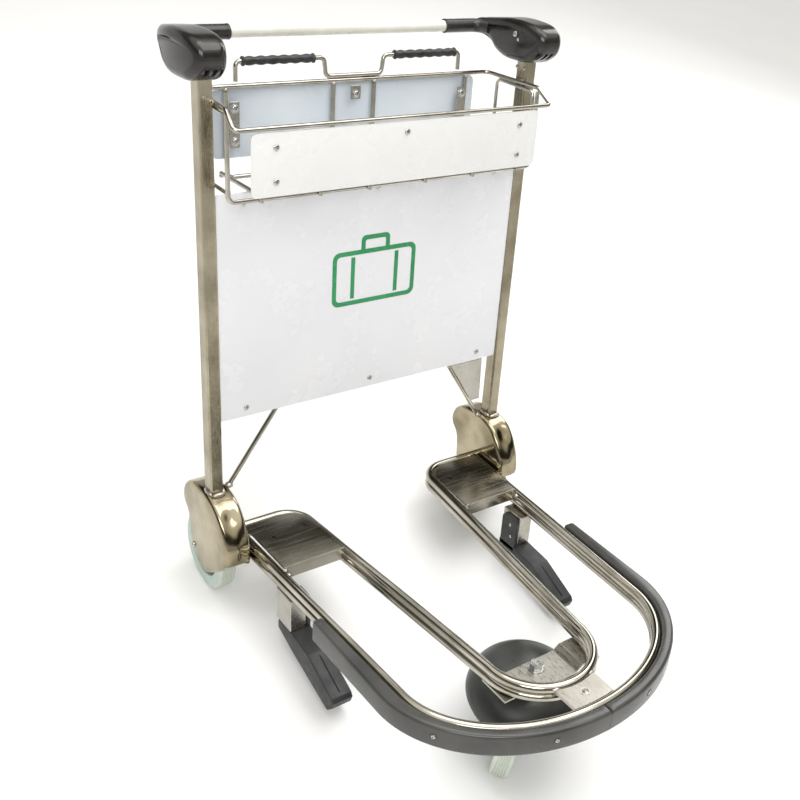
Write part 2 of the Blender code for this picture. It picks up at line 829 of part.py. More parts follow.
def wheel_housing(side_name, side):
    """A pressed steel cover over the rear wheel, open below, that joins upright and base."""
    middle_x = side * (HOUSING_INNER_X + HOUSING_OUTER_X) / 2
    width = HOUSING_OUTER_X - HOUSING_INNER_X
    housing = plate(f"wheel_housing_{side_name}", HOUSING_PROFILE, width, (middle_x, 0, 0), "X", POLISHED)
    finish(housing, bevel=0.005, segments=2, angle=60)
    middle = Vector(HOUSING_MIDDLE)
    hollow = []
    for y, z in HOUSING_PROFILE:
        point = Vector((y, z))
        offset = (point - middle).normalized() * HOUSING_WALL * 1.25
        covered = z > (0.14 if y > 0.05 else 0.1)
        hollow.append(point - offset if covered else point + offset * 8)
    cavity = plate(f"housing_cavity_{side_name}", hollow, width - 2 * HOUSING_WALL, (middle_x, 0, 0), "X")
    hole_middle = (side * UPRIGHT_X, ROD_Y, 0.21)
    rod_hole = cylinder(f"rod_hole_{side_name}", 0.0042, 0.03, hole_middle, "Z", sides=12)
    cut(housing, cavity, rod_hole)


def wheel_profile(tread, bore, width, groove):
    """Half section of a tyre, from its top edge down the tread and back up the bore."""
    half = width / 2
    edge = 0.003
    profile = [(bore, half), (tread - edge, half), (tread, half - edge)]
    for place_z in (0.006, -0.006):
        profile += [
            (tread, place_z + groove),
            (tread - groove, place_z + groove / 2),
            (tread - groove, place_z - groove / 2),
            (tread, place_z - groove),
        ]
    profile += [(tread, -half + edge), (tread - edge, -half), (bore, -half), (bore, half)]
    return profile


def wheel(prefix, suffix, radius, width, hub_radius, parent, axis="X"):
    """A tyre on its hub. Both turn about the parent empty's axis."""
    tread = wheel_profile(radius, hub_radius + GAP, width, 0.0018)
    turned(f"{prefix}_tyre{suffix}", tread, (0, 0, 0), axis, TYRE, parent, 32)
    half = width / 2
    hub_profile = [
        (AXLE_RADIUS + 0.0001, half - 0.001),
        (0.013, half - 0.001),
        (0.015, half - 0.006),
        (hub_radius - 0.006, half - 0.006),
        (hub_radius - 0.003, half - 0.001),
        (hub_radius, half - 0.001),
        (hub_radius, -half + 0.001),
        (hub_radius - 0.003, -half + 0.001),
        (hub_radius - 0.006, -half + 0.006),
        (0.015, -half + 0.006),
        (0.013, -half + 0.001),
        (AXLE_RADIUS + 0.0001, -half + 0.001),
        (AXLE_RADIUS + 0.0001, half - 0.001),
    ]
    turned(f"{prefix}_hub{suffix}", hub_profile, (0, 0, 0), axis, BLACK, parent, 24)


def rear_wheel(side_name, side):
    centre = empty(f"rear_wheel_centre_{side_name}", (side * WHEEL_X, FRAME_Y + WHEEL_Y, WHEEL_RADIUS))
    wheel("rear", f"_{side_name}", WHEEL_RADIUS, WHEEL_WIDTH, HUB_RADIUS, centre)
    length = HOUSING_OUTER_X - HOUSING_INNER_X - 2 * HOUSING_WALL - 2 * GAP
    inset = side * ((HOUSING_INNER_X + HOUSING_OUTER_X) / 2 - WHEEL_X)
    cylinder(f"rear_axle_{side_name}", AXLE_RADIUS, length, (inset, 0, 0), "X", ZINC, centre, sides=20)


# ---------------------------------------------------------------- front caster


def caster():
    """The swivelling front wheel. Its kingpin is upright, whatever the slope of the base."""
    run = KINGPIN_Y * math.cos(LEAN) + BRACKET_Z * math.sin(LEAN)
    rise = -KINGPIN_Y * math.sin(LEAN) + BRACKET_Z * math.cos(LEAN)
    pin_y, pin_z = FRAME_Y + run, FRAME_Z + rise
    swivel = empty("caster_swivel", (0, pin_y, 0), (0, 0, CASTER_HEADING))
    crown = pin_z - 0.0125
    head = cylinder("kingpin_head", 0.0125, 0.010, (0, KINGPIN_Y, BRACKET_Z + 0.005 + GAP), "Z", sides=6)
    collar_middle = (0, pin_y, crown + 0.0025)
    collar = cylinder("kingpin_collar", 0.014, 0.0042, collar_middle, "Z", parent=None, sides=20)
    pin = cylinder("kingpin", 0.0052, 0.0305, (0, pin_y, pin_z - 0.01125), "Z", ZINC, None, sides=16)
    join(pin, head, collar)

    # Hood: a shallow dome with a rolled edge, and two cheeks that carry the axle.
    inner_rim = HOOD_RADIUS - 0.003
    hood_profile = [(0.0075, crown)]
    for step in range(1, 9):
        angle = math.radians(90 * step / 8)
        radius = 0.0075 + (HOOD_RADIUS - 0.0075) * math.sin(angle)
        hood_profile.append((radius, crown - HOOD_DROP * (1 - math.cos(angle))))
    hood_profile.append((inner_rim, crown - HOOD_DROP))
    for step in range(7, -1, -1):
        angle = math.radians(90 * step / 8)
        radius = 0.0075 + (inner_rim - 0.0075) * math.sin(angle)
        hood_profile.append((radius, crown - 0.003 - (HOOD_DROP - 0.003) * (1 - math.cos(angle))))
    hood_profile.append((0.0075, crown))
    hood = turned("caster_hood", hood_profile, (0, 0, 0), "Z", BLACK, swivel, 28)
    cheek_x = CASTER_WIDTH / 2 + 0.004
    for number, side in (("near", 1), ("far", -1)):
        cheek = plate(
            f"caster_cheek_{number}",
            [
                (-CASTER_TRAIL, 0.052),
                (-CASTER_TRAIL + 0.016, 0.060),
                (-0.010, 0.110),
                (0.024, crown - 0.010),
                (0.020, crown - 0.004),
                (-0.060, crown - 0.018),
                (-CASTER_TRAIL - 0.016, 0.075),
                (-CASTER_TRAIL - 0.013, 0.058),
            ],
            CHEEK_THICKNESS,
            (side * (cheek_x + CHEEK_THICKNESS / 2), 0, 0),
            "X",
            parent=swivel,
        )
        join(hood, cheek)
    centre = empty("caster_wheel_centre", (0, -CASTER_TRAIL, CASTER_RADIUS), parent=swivel)
    wheel("caster", "", CASTER_RADIUS, CASTER_WIDTH, 0.036, centre)
    axle_length = 2 * cheek_x - 2 * GAP
    cylinder("caster_axle", AXLE_RADIUS - 0.0001, axle_length, (0, 0, 0), "X", ZINC, centre)


# ---------------------------------------------------------------- braces


def brace(side_name, side):
    path = mirrored(
        [(0.2845, 0.017, 0.2185), (0.196, 0.012, 0.352), (0.189, 0.012, 0.366), (0.186, 0.0115, 0.385)],
        side,
    )
    wire(f"brace_{side_name}", path, 0.0045, STAINLESS, resolution=2)


def gusset():
    outline = [(0.196, 0.3565), (0.2745, 0.3565), (0.2775, 0.262), (0.256, 0.262)]
    plate("gusset_right", outline, 0.002, (0, 0.0045, 0), "Y", STAINLESS)


for SIDE_NAME, SIDE in SIDES:
    upright(SIDE_NAME, SIDE)
    handle_side(SIDE_NAME, SIDE)
    brake_shoe(SIDE_NAME, SIDE)
    deck_plate(SIDE_NAME, SIDE)
    bumper(SIDE_NAME, SIDE)
    escalator_foot(SIDE_NAME, SIDE)
    wheel_housing(SIDE_NAME, SIDE)
    rear_wheel(SIDE_NAME, SIDE)
    brace(SIDE_NAME, SIDE)
handle_bar()
boards()
basket()
carry_handle()
base_tubes()
tie_and_bracket()
caster()
gusset()
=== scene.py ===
"""The finished look of the airport luggage trolley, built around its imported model.

Units are metres and +Z is up. Most of the trolley is drawn in the coordinates of its welded frame (X across,
Y backwards along the base tubes, Z up along the uprights), which LEANED turns into the model's own.
"""

import json
import math

import bmesh
import bpy
from mathutils import Matrix, Vector


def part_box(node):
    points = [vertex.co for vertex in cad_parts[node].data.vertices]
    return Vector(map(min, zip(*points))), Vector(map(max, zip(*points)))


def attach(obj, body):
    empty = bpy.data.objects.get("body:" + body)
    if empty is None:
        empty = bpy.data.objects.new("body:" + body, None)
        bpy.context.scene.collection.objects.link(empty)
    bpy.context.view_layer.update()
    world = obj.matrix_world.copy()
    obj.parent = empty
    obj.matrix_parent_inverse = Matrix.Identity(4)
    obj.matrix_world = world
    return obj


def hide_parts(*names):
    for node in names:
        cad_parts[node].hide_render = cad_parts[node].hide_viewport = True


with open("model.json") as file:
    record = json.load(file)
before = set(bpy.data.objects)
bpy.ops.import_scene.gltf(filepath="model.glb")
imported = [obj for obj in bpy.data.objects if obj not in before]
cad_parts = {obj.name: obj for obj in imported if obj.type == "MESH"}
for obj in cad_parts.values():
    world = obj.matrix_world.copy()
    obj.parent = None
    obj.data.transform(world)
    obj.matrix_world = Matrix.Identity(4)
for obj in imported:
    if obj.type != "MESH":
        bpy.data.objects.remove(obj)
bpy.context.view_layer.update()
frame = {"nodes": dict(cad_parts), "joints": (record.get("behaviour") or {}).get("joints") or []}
JOINTS = {joint["name"]: joint for joint in frame["joints"]}
SIDES = (("left", -1), ("right", 1))

LEAN = math.radians(12)
FRAME_Y = 0.16875
FRAME_Z = 0.0054
LEANED = Matrix.Translation((0, FRAME_Y, FRAME_Z)) @ Matrix.Rotation(-LEAN, 4, "X")
BODY = "trolley_frame"

# ---------------------------------------------------------------- materials


def node(tree, kind, **inputs):
    made = tree.nodes.new(kind)
    for key, value in inputs.items():
        made.inputs[key.replace("_", " ")].default_value = value
    return made


def new_material(name, color, roughness, metallic=0.0, **sockets):
    made = bpy.data.materials.new(name)
    made.use_nodes = True
    shader = made.node_tree.nodes["Principled BSDF"]
    shader.inputs["Base Color"].default_value = (*color, 1)
    shader.inputs["Roughness"].default_value = roughness
    shader.inputs["Metallic"].default_value = metallic
    for key, value in sockets.items():
        shader.inputs[key.replace("_", " ")].default_value = value
    return made, made.node_tree, shader


def coordinates(tree, scale=(1, 1, 1)):
    place = tree.nodes.new("ShaderNodeTexCoord")
    mapping = tree.nodes.new("ShaderNodeMapping")
    mapping.inputs["Scale"].default_value = scale
    tree.links.new(place.outputs["Object"], mapping.inputs["Vector"])
    return mapping.outputs["Vector"]


def noise(tree, vector, scale, detail=3.0, roughness=0.5):
    made = node(tree, "ShaderNodeTexNoise", Scale=scale, Detail=detail, Roughness=roughness)
    tree.links.new(vector, made.inputs["Vector"])
    return made.outputs["Fac"]


def spread(tree, value, low, high, start=0.3, end=0.7):
    """A noise value turned into a range of numbers."""
    made = node(tree, "ShaderNodeMapRange", From_Min=start, From_Max=end, To_Min=low, To_Max=high)
    tree.links.new(value, made.inputs["Value"])
    return made.outputs["Result"]


def blend_colors(tree, value, low, high, start=0.35, end=0.65):
    made = tree.nodes.new("ShaderNodeValToRGB")
    made.color_ramp.elements[0].position = start
    made.color_ramp.elements[0].color = (*low, 1)
    made.color_ramp.elements[1].position = end
    made.color_ramp.elements[1].color = (*high, 1)
    tree.links.new(value, made.inputs["Fac"])
    return made.outputs["Color"]


def bump(tree, shader, height, strength, distance):
    made = node(tree, "ShaderNodeBump", Strength=strength, Distance=distance)
    tree.links.new(height, made.inputs["Height"])
    tree.links.new(made.outputs["Normal"], shader.inputs["Normal"])


def mottled(
    name,
    dark,
    light,
    rough_low,
    rough_high,
    metallic=0.0,
    cloud=14.0,
    grain=900.0,
    grain_bump=0.1,
    **sockets,
):
    """Cloudy colour, uneven gloss and a fine grain: the base of most finishes here."""
    made, tree, shader = new_material(name, light, rough_high, metallic, **sockets)
    vector = coordinates(tree)
    clouds = noise(tree, vector, cloud, 4.0)
    tree.links.new(blend_colors(tree, clouds, dark, light), shader.inputs["Base Color"])
    smears = noise(tree, vector, cloud * 2.3, 5.0, 0.6)
    tree.links.new(spread(tree, smears, rough_low, rough_high), shader.inputs["Roughness"])
    bump(tree, shader, noise(tree, vector, grain, 2.0), grain_bump, 0.0004)
    return made


def brushed(name, dark, light, rough_low, rough_high, stretch, grain=260.0, strength=0.12):
    """Metal with fine lines along one axis, whose scale is the smallest in stretch."""
    made, tree, shader = new_material(name, light, rough_high, 1.0)
    lines = noise(tree, coordinates(tree, stretch), grain, 3.0, 0.6)
    clouds = noise(tree, coordinates(tree), 9.0, 4.0)
    tree.links.new(blend_colors(tree, clouds, dark, light), shader.inputs["Base Color"])
    tree.links.new(spread(tree, lines, rough_low, rough_high), shader.inputs["Roughness"])
    bump(tree, shader, lines, strength, 0.0003)
    return made


MATERIALS = {
    "upright": brushed(
        "brushed_upright", (0.24, 0.21, 0.145), (0.46, 0.415, 0.31), 0.16, 0.32, (1, 1, 0.03)
    ),
    "tube": mottled(
        "polished_tube", (0.36, 0.34, 0.28), (0.56, 0.53, 0.46), 0.07, 0.17, 1.0, 10.0, 700.0, 0.05
    ),
    "wire": mottled(
        "basket_wire", (0.38, 0.36, 0.31), (0.56, 0.53, 0.47), 0.12, 0.26, 1.0, 20.0, 700.0, 0.06
    ),
    "plate": brushed("brushed_plate", (0.24, 0.225, 0.18), (0.38, 0.36, 0.30), 0.16, 0.30, (0.05, 1, 1)),
    "bracket": brushed("brushed_bracket", (0.34, 0.32, 0.28), (0.50, 0.48, 0.43), 0.22, 0.38, (1, 0.05, 1)),
    "housing": mottled(
        "pressed_steel", (0.24, 0.205, 0.13), (0.46, 0.40, 0.28), 0.08, 0.20, 1.0, 16.0, 500.0, 0.08
    ),
    "zinc": mottled(
        "zinc_screw", (0.46, 0.46, 0.45), (0.66, 0.66, 0.64), 0.18, 0.32, 1.0, 60.0, 900.0, 0.08
    ),
    "weld": mottled("weld_bead", (0.40, 0.36, 0.31), (0.62, 0.57, 0.50), 0.24, 0.42, 1.0, 90.0, 500.0, 0.5),
    "white": mottled(
        "white_board", (0.80, 0.80, 0.825), (0.84, 0.84, 0.86), 0.20, 0.32, 0.0, 5.0, 1400.0, 0.04
    ),
    "front": mottled(
        "front_board", (0.79, 0.79, 0.775), (0.83, 0.83, 0.815), 0.22, 0.34, 0.0, 5.0, 1400.0, 0.04
    ),
    "pale": mottled(
        "pale_board", (0.60, 0.66, 0.72), (0.70, 0.75, 0.79), 0.26, 0.40, 0.0, 6.0, 1400.0, 0.05
    ),
    "cream": mottled(
        "cream_tube", (0.72, 0.71, 0.62), (0.84, 0.83, 0.75), 0.20, 0.34, 0.0, 12.0, 900.0, 0.05
    ),
    "gloss": mottled(
        "gloss_black", (0.014, 0.012, 0.011), (0.030, 0.028, 0.026), 0.10, 0.22, 0.0, 18.0, 420.0, 0.16
    ),
    "sleeve": mottled(
        "sleeve_black", (0.018, 0.017, 0.017), (0.038, 0.036, 0.035), 0.20, 0.34, 0.0, 18.0, 700.0, 0.15
    ),
    "bumper": mottled(
        "bumper_grey", (0.040, 0.040, 0.037), (0.070, 0.069, 0.065), 0.16, 0.30, 0.0, 9.0, 900.0, 0.10
    ),
    "hood": mottled(
        "hood_black", (0.022, 0.024, 0.022), (0.046, 0.048, 0.044), 0.26, 0.42, 0.0, 9.0, 900.0, 0.15
    ),
    "rubber": mottled(
        "black_rubber", (0.012, 0.014, 0.013), (0.032, 0.034, 0.034), 0.34, 0.55, 0.0, 25.0, 600.0, 0.3
    ),
    "tyre": mottled(
        "pale_tyre", (0.50, 0.55, 0.47), (0.64, 0.69, 0.61), 0.40, 0.58, 0.0, 22.0, 700.0, 0.25
    ),
    "face": mottled("tyre_face", (0.45, 0.57, 0.50), (0.55, 0.66, 0.60), 0.40, 0.58, 0.0, 22.0, 700.0, 0.2),
    "hub": mottled(
        "wheel_hub", (0.035, 0.04, 0.042), (0.075, 0.08, 0.085), 0.35, 0.5, 0.0, 30.0, 700.0, 0.15
    ),
    "sign": mottled(
        "green_print", (0.016, 0.25, 0.085), (0.024, 0.31, 0.11), 0.22, 0.34, 0.0, 8.0, 1400.0, 0.03
    ),
    # Near-black painted shade: it fills the deck holes and the rubber foot grooves, where only shade would
    # show.
    "dark": mottled(
        "painted_shade_black", (0.004, 0.004, 0.004), (0.010, 0.010, 0.010), 0.6, 0.8, 0.0, 40.0, 600.0, 0.1
    ),
}

# ---------------------------------------------------------------- shapes


def settle(obj, mat, body=BODY, replaced=(), matrix=LEANED):
    """Puts a finished piece into the scene, on its body and in place of the CAD nodes that it stands for."""
    if obj.name not in bpy.context.scene.collection.objects:
        bpy.context.scene.collection.objects.link(obj)
    obj.matrix_world = matrix
    obj.data.materials.clear()
    obj.data.materials.append(MATERIALS[mat])
    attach(obj, body)
    if replaced:
        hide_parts(*replaced)
    return obj


def smooth(mesh, angle=38):
    mesh.shade_smooth()
    mesh.set_sharp_from_angle(angle=math.radians(angle))
    return mesh


def mesh_object(name, vertices, faces, angle=38):
    mesh = bpy.data.meshes.new(name)
    mesh.from_pydata([tuple(vertex) for vertex in vertices], [], faces)
    shape = bmesh.new()
    shape.from_mesh(mesh)
    bmesh.ops.recalc_face_normals(shape, faces=shape.faces)
    shape.to_mesh(mesh)
    shape.free()
    return bpy.data.objects.new(name, smooth(mesh, angle))


def arc(middle, radius_x, radius_y, start, end, steps):
    points = []
    for step in range(steps + 1):
        angle = math.radians(start + (end - start) * step / steps)
        x, y = middle[0] + radius_x * math.cos(angle), middle[1] + radius_y * math.sin(angle)
        points.append(Vector((x, y, middle[2])))
    return points


def rounded(points, radius, steps=8, closed=False):
    """A path with its corners replaced by arcs. A radius may be one number or one for each point."""
    points = [Vector(point) for point in points]
    path = []
    for index, corner in enumerate(points):
        size = radius[index] if isinstance(radius, (list, tuple)) else radius
        if (not closed and index in (0, len(points) - 1)) or not size:
            path.append(corner)
            continue
        before = (points[index - 1] - corner).normalized()
        after = (points[(index + 1) % len(points)] - corner).normalized()
        half = before.angle(after) / 2
        centre = corner + (before + after).normalized() * size / math.sin(half)
        start = corner + before * size / math.tan(half) - centre
        end = corner + after * size / math.tan(half) - centre
        turn = Matrix.Rotation(start.angle(end) / steps, 3, start.cross(end))
        for _ in range(steps + 1):
            path.append(centre + start)
            start = turn @ start
    return path


def flowing(points, per_span=6):
    """A smooth closed outline through a few points (a Catmull-Rom curve)."""
    points = [Vector(point) for point in points]
    count = len(points)
    outline = []
    for index in range(count):
        p0, p1, p2, p3 = (points[(index + step) % count] for step in (-1, 0, 1, 2))
        for step in range(per_span):
            t = step / per_span
            outline.append(
                0.5
                * (
                    2 * p1
                    + (p2 - p0) * t
                    + (2 * p0 - 5 * p1 + 4 * p2 - p3) * t**2
                    + (3 * p1 - p0 - 3 * p2 + p3) * t**3
                )
            )
    return outline


def tube(name, points, radius, closed=False, sides=6):
    """A round bar along a path."""
    curve = bpy.data.curves.new(name, "CURVE")
    curve.dimensions = "3D"
    spline = curve.splines.new("POLY")
    spline.points.add(len(points) - 1)
    for target, point in zip(spline.points, points):
        target.co = (*point, 1)
    spline.use_cyclic_u = closed
    spline.use_smooth = True
    curve.bevel_depth = radius
    curve.bevel_resolution = sides
    curve.use_fill_caps = True
    return bpy.data.objects.new(name, curve)


TO_AXIS = {
    "X": lambda across, up, along: (along, across, up),
    "Y": lambda across, up, along: (across, along, up),
    "Z": lambda across, up, along: (across, up, along),
}


def pillow(name, outline, low, high, axis, edge, steps=4, angle=38, shape_by=None, middles=0):
    """A slab between two places on an axis, with its outline drawn in by a quarter circle at both rims.

    The shaping function, if given, moves each finished point, and middles adds rows for it between the rims.
    """
    flat = [Vector((point[0], point[1])) for point in outline]
    count = len(flat)
    area = sum(flat[i].cross(flat[(i + 1) % count]) for i in range(count))
    inward = []
    for index, point in enumerate(flat):
        run = (flat[(index + 1) % count] - point).normalized() + (point - flat[index - 1]).normalized()
        run.normalize()
        inward.append(Vector((-run.y, run.x)) * (1 if area > 0 else -1))
    levels = []
    for step in range(steps + 1):
        turn = math.radians(90 * step / steps)
        levels.append((low + edge * (1 - math.sin(turn)), edge * (1 - math.cos(turn))))
    levels.sort()
    rims = [(low + high - place, inset) for place, inset in reversed(levels)]
    first, last = levels[-1][0], rims[0][0]
    levels += [(first + (last - first) * row / (middles + 1), 0.0) for row in range(1, middles + 1)]
    levels += rims
    vertices, faces = [], []
    for place, inset in levels:
        for point, normal in zip(flat, inward):
            at = point + normal * inset
            corner = Vector(TO_AXIS[axis](at.x, at.y, place))
            vertices.append(shape_by(corner) if shape_by else corner)
    for level in range(len(levels) - 1):
        for index in range(count):
            after = (index + 1) % count
            a, b = level * count, (level + 1) * count
            faces.append((a + index, a + after, b + after, b + index))
    faces.append(tuple(range(count - 1, -1, -1)))
    faces.append(tuple(range((len(levels) - 1) * count, len(levels) * count)))
    return mesh_object(name, vertices, faces, angle)


def turned(name, profile, steps=72, angle=38):
    """A solid of revolution about its own Z from a closed or axis-ended (radius, height) profile."""
    vertices, faces = [], []
    count = len(profile)
    for step in range(steps):
        angle_now = 2 * math.pi * step / steps
        vertices += [(r * math.cos(angle_now), r * math.sin(angle_now), z) for r, z in profile]
    for step in range(steps):
        a, b = step * count, (step + 1) % steps * count
        for index in range(count):
            after = (index + 1) % count
            faces.append((a + index, a + after, b + after, b + index))
    made = mesh_object(name, vertices, faces, angle)
    shape = bmesh.new()
    shape.from_mesh(made.data)
    bmesh.ops.remove_doubles(shape, verts=shape.verts, dist=0.00001)
    bmesh.ops.dissolve_degenerate(shape, edges=shape.edges, dist=0.000001)
    bmesh.ops.recalc_face_normals(shape, faces=shape.faces)
    shape.to_mesh(made.data)
    shape.free()
    smooth(made.data, angle)
    return made


def facing(place, direction):
    """A matrix that puts a piece at a place in the frame with its Z along a direction there."""
    turn = Vector(direction).to_track_quat("Z", "Y").to_matrix().to_4x4()
    return LEANED @ Matrix.Translation(place) @ turn


def subtract(obj, cutter, solver="EXACT"):
    """Cuts one mesh from another at once, so that no helper is left in the scene."""
    for item in (obj, cutter):
        bpy.context.scene.collection.objects.link(item)
    modifier = obj.modifiers.new("cut", "BOOLEAN")
    modifier.operation = "DIFFERENCE"
    modifier.object = cutter
    modifier.solver = solver
    bpy.context.view_layer.update()
    mesh = bpy.data.meshes.new_from_object(obj.evaluated_get(bpy.context.evaluated_depsgraph_get()))
    obj.modifiers.clear()
    obj.data = smooth(mesh)
    bpy.context.scene.collection.objects.unlink(obj)
    bpy.data.objects.remove(cutter)
    return obj


def merged(name, objects):
    """Several meshes made one object. Their places stay as they are in their vertices."""
    shape = bmesh.new()
    for item in objects:
        shape.from_mesh(item.data)
        bpy.data.objects.remove(item)
    mesh = bpy.data.meshes.new(name)
    shape.to_mesh(mesh)
    shape.free()
    return bpy.data.objects.new(name, smooth(mesh))


def shifted(obj, matrix):
    obj.data.transform(matrix)
    return obj


# ---------------------------------------------------------------- small parts


def screw(name, place, direction, radius, body=BODY):
    """A pan head with a round recess."""
    height = radius * 0.55
    profile = [(0.0, -0.001), (radius, -0.001), (radius, height * 0.35)]
    profile += [
        (radius * math.cos(math.radians(a)), height * (0.35 + 0.65 * math.sin(math.radians(a))))
        for a in (25, 50, 70)
    ]
    profile += [(radius * 0.42, height * 0.98), (radius * 0.36, height * 0.25), (0.0, height * 0.15)]
    made = turned(name, profile, 24)
    return settle(made, "zinc", body, matrix=facing(place, direction))


def ring_washer(name, place, direction, radius, hole, thick, mat="zinc"):
    profile = [(hole, 0), (radius, 0), (radius, thick * 0.8), (radius - thick * 0.2, thick), (hole, thick)]
    return settle(turned(name, profile, 32), mat, matrix=facing(place, direction))


# ---------------------------------------------------------------- uprights, handle and casings

UPRIGHT_X, UPRIGHT_INNER_X = 0.318, 0.3058
BAR_Y, BAR_Z = 0.138, 0.993
BAR_RADIUS, BAR_END_X = 0.0100, 0.2132
CASING_INNER_X, CASING_OUTER_X = 0.2932, 0.3548
CASING_MIDDLE_DEPTH = 0.0330
CASING_TURN_Y, CASING_TAIL_Y, CASING_TAIL_SHARE = 0.034, 0.1555, 0.22
CASING_NOSE_Y, CASING_NOSE_TAPER, CASING_NOSE_DRAW = -0.05, 0.30, 0.0055
CASING_OUTLINE = (
    (0.034, 0.9495),
    (0.062, 0.951),
    (0.088, 0.960),
    (0.104, 0.973),
    (0.124, 0.979),
    (0.145, 0.981),
    (0.1545, 0.992),
    (0.148, 1.004),
    (0.126, 1.009),
    (0.092, 1.015),
    (0.056, 1.0205),
    (0.020, 1.0215),
    (-0.016, 1.0185),
    (-0.041, 1.009),
    (-0.0505, 0.992),
    (-0.044, 0.974),
    (-0.026, 0.9615),
    (-0.004, 0.952),
)


def uprights():
    for side_name, _ in SIDES:
        obj = frame["nodes"][f"upright_{side_name}"]
        obj.data.materials.clear()
        obj.data.materials.append(MATERIALS["upright"])


def handle():
    ends = [(-BAR_END_X, BAR_Y, BAR_Z), (BAR_END_X, BAR_Y, BAR_Z)]
    settle(tube("bar_tube", ends, BAR_RADIUS, sides=14), "cream", "handle", ["handle_bar"])
    for side_name, side in SIDES:
        corners = [
            (side * 0.2138, BAR_Y, BAR_Z),
            (side * 0.292, BAR_Y, BAR_Z),
            (side * 0.300, BAR_Y - 0.030, BAR_Z),
        ]
        path = rounded(corners, [0, 0.022, 0], 10)
        sleeve = tube(f"sleeve_{side_name}", path, 0.0122, sides=12)
        settle(sleeve, "sleeve", "handle", [f"handle_sleeve_{side_name}"])
        lip = turned(
            f"sleeve_lip_{side_name}",
            [
                (0.0100, 0.0), (0.0115, 0.0), (0.0126, 0.0012), (0.0126, 0.0042), (0.0118, 0.0052),
                (0.0100, 0.0052),
            ],
            48,
        )
        place = Matrix.Translation((side * BAR_END_X, BAR_Y, BAR_Z))
        turn = Matrix.Rotation(side * math.pi / 2, 4, "Y")
        settle(lip, "sleeve", "handle", matrix=LEANED @ place @ turn)
        casing(side_name, side)


def casing_shape(side):
    """Curves a casing's outer side in towards its tail, narrows its nose and swells its flanks a little."""

    def shape(point):
        depth = side * point.x - CASING_INNER_X
        past = (point.y - CASING_TURN_Y) / (CASING_TAIL_Y - CASING_TURN_Y)
        if past > 0 and depth > 0:
            narrowing = math.sqrt(max(0.0, 1 - min(past, 1.0) ** 2))
            depth *= CASING_TAIL_SHARE + (1 - CASING_TAIL_SHARE) * narrowing
        nose = min(1.0, max(0.0, point.y / CASING_NOSE_Y))
        depth = CASING_MIDDLE_DEPTH + (depth - CASING_MIDDLE_DEPTH) * (1 - CASING_NOSE_TAPER * nose**2)
        swell = math.exp(-(((point.y - 0.012) / 0.045) ** 2) - ((point.z - 0.990) / 0.026) ** 2)
        if depth > 0.03:
            depth += 0.0006 * swell
        return Vector((side * (CASING_INNER_X + depth), point.y + CASING_NOSE_DRAW * nose**2, point.z))

    return shape


def casing(side_name, side):
    low, high = sorted((side * CASING_INNER_X, side * CASING_OUTER_X))
    shape = casing_shape(side)
    shell = pillow(f"casing_{side_name}", flowing(CASING_OUTLINE, 6), low, high, "X", 0.0145, 8, 38, shape, 4)
    mouth_x = side * UPRIGHT_X
    mouth = box_mesh("mouth", (mouth_x - 0.0165, -0.009, 0.93), (mouth_x + 0.0165, 0.042, 1.0))
    subtract(shell, mouth)
    vents = [
        box_mesh(
            f"vent_{number}",
            (mouth_x - 0.004 + offset, -0.06, 0.9565),
            (mouth_x + 0.003 + offset, -0.024, 0.9745),
        )
        for number, offset in enumerate((-0.013, 0.000, 0.012))
    ]
    for vent in vents:
        subtract(shell, vent)
    settle(shell, "gloss", "handle", [f"handle_casing_{side_name}"])
    seam = flowing([(y * 0.965 + 0.001, (z - 0.985) * 0.93 + 0.985) for y, z in CASING_OUTLINE], 5)
    inner_x = side * 0.3005
    path = [shape(Vector((inner_x, point.x, point.y))) for point in seam]
    line = tube(f"casing_seam_{side_name}", path, 0.0009, True, 2)
    settle(line, "gloss", "handle")
    screw(f"casing_screw_{side_name}", (side * 0.2934, 0.026, 0.998), (-side, 0, 0), 0.0052, "handle")
    for number, y in ((1, 0.0065), (2, 0.0265)):
        screw(f"upright_screw_{side_name}_{number}", (side * UPRIGHT_INNER_X, y, 0.940), (-side, 0, 0), 0.0034)


def box_mesh(name, low, high, edge=0.0):
    x0, y0, z0 = low
    x1, y1, z1 = high
    outline = [(x0, y0), (x1, y0), (x1, y1), (x0, y1)]
    return pillow(name, outline, z0, z1, "Z", edge, 2)


# ---------------------------------------------------------------- boards


def slab(name, half_x, z_low, z_high, radius, y_low, y_high, mat, node_name):
    corners = [(-half_x, z_low, 0), (half_x, z_low, 0), (half_x, z_high, 0), (-half_x, z_high, 0)]
    outline = [(point.x, point.y) for point in rounded(corners, radius, 8, True)]
    board = pillow(name, outline, y_low, y_high, "Y", 0.0006, 3)
    return settle(board, mat, replaced=[node_name])


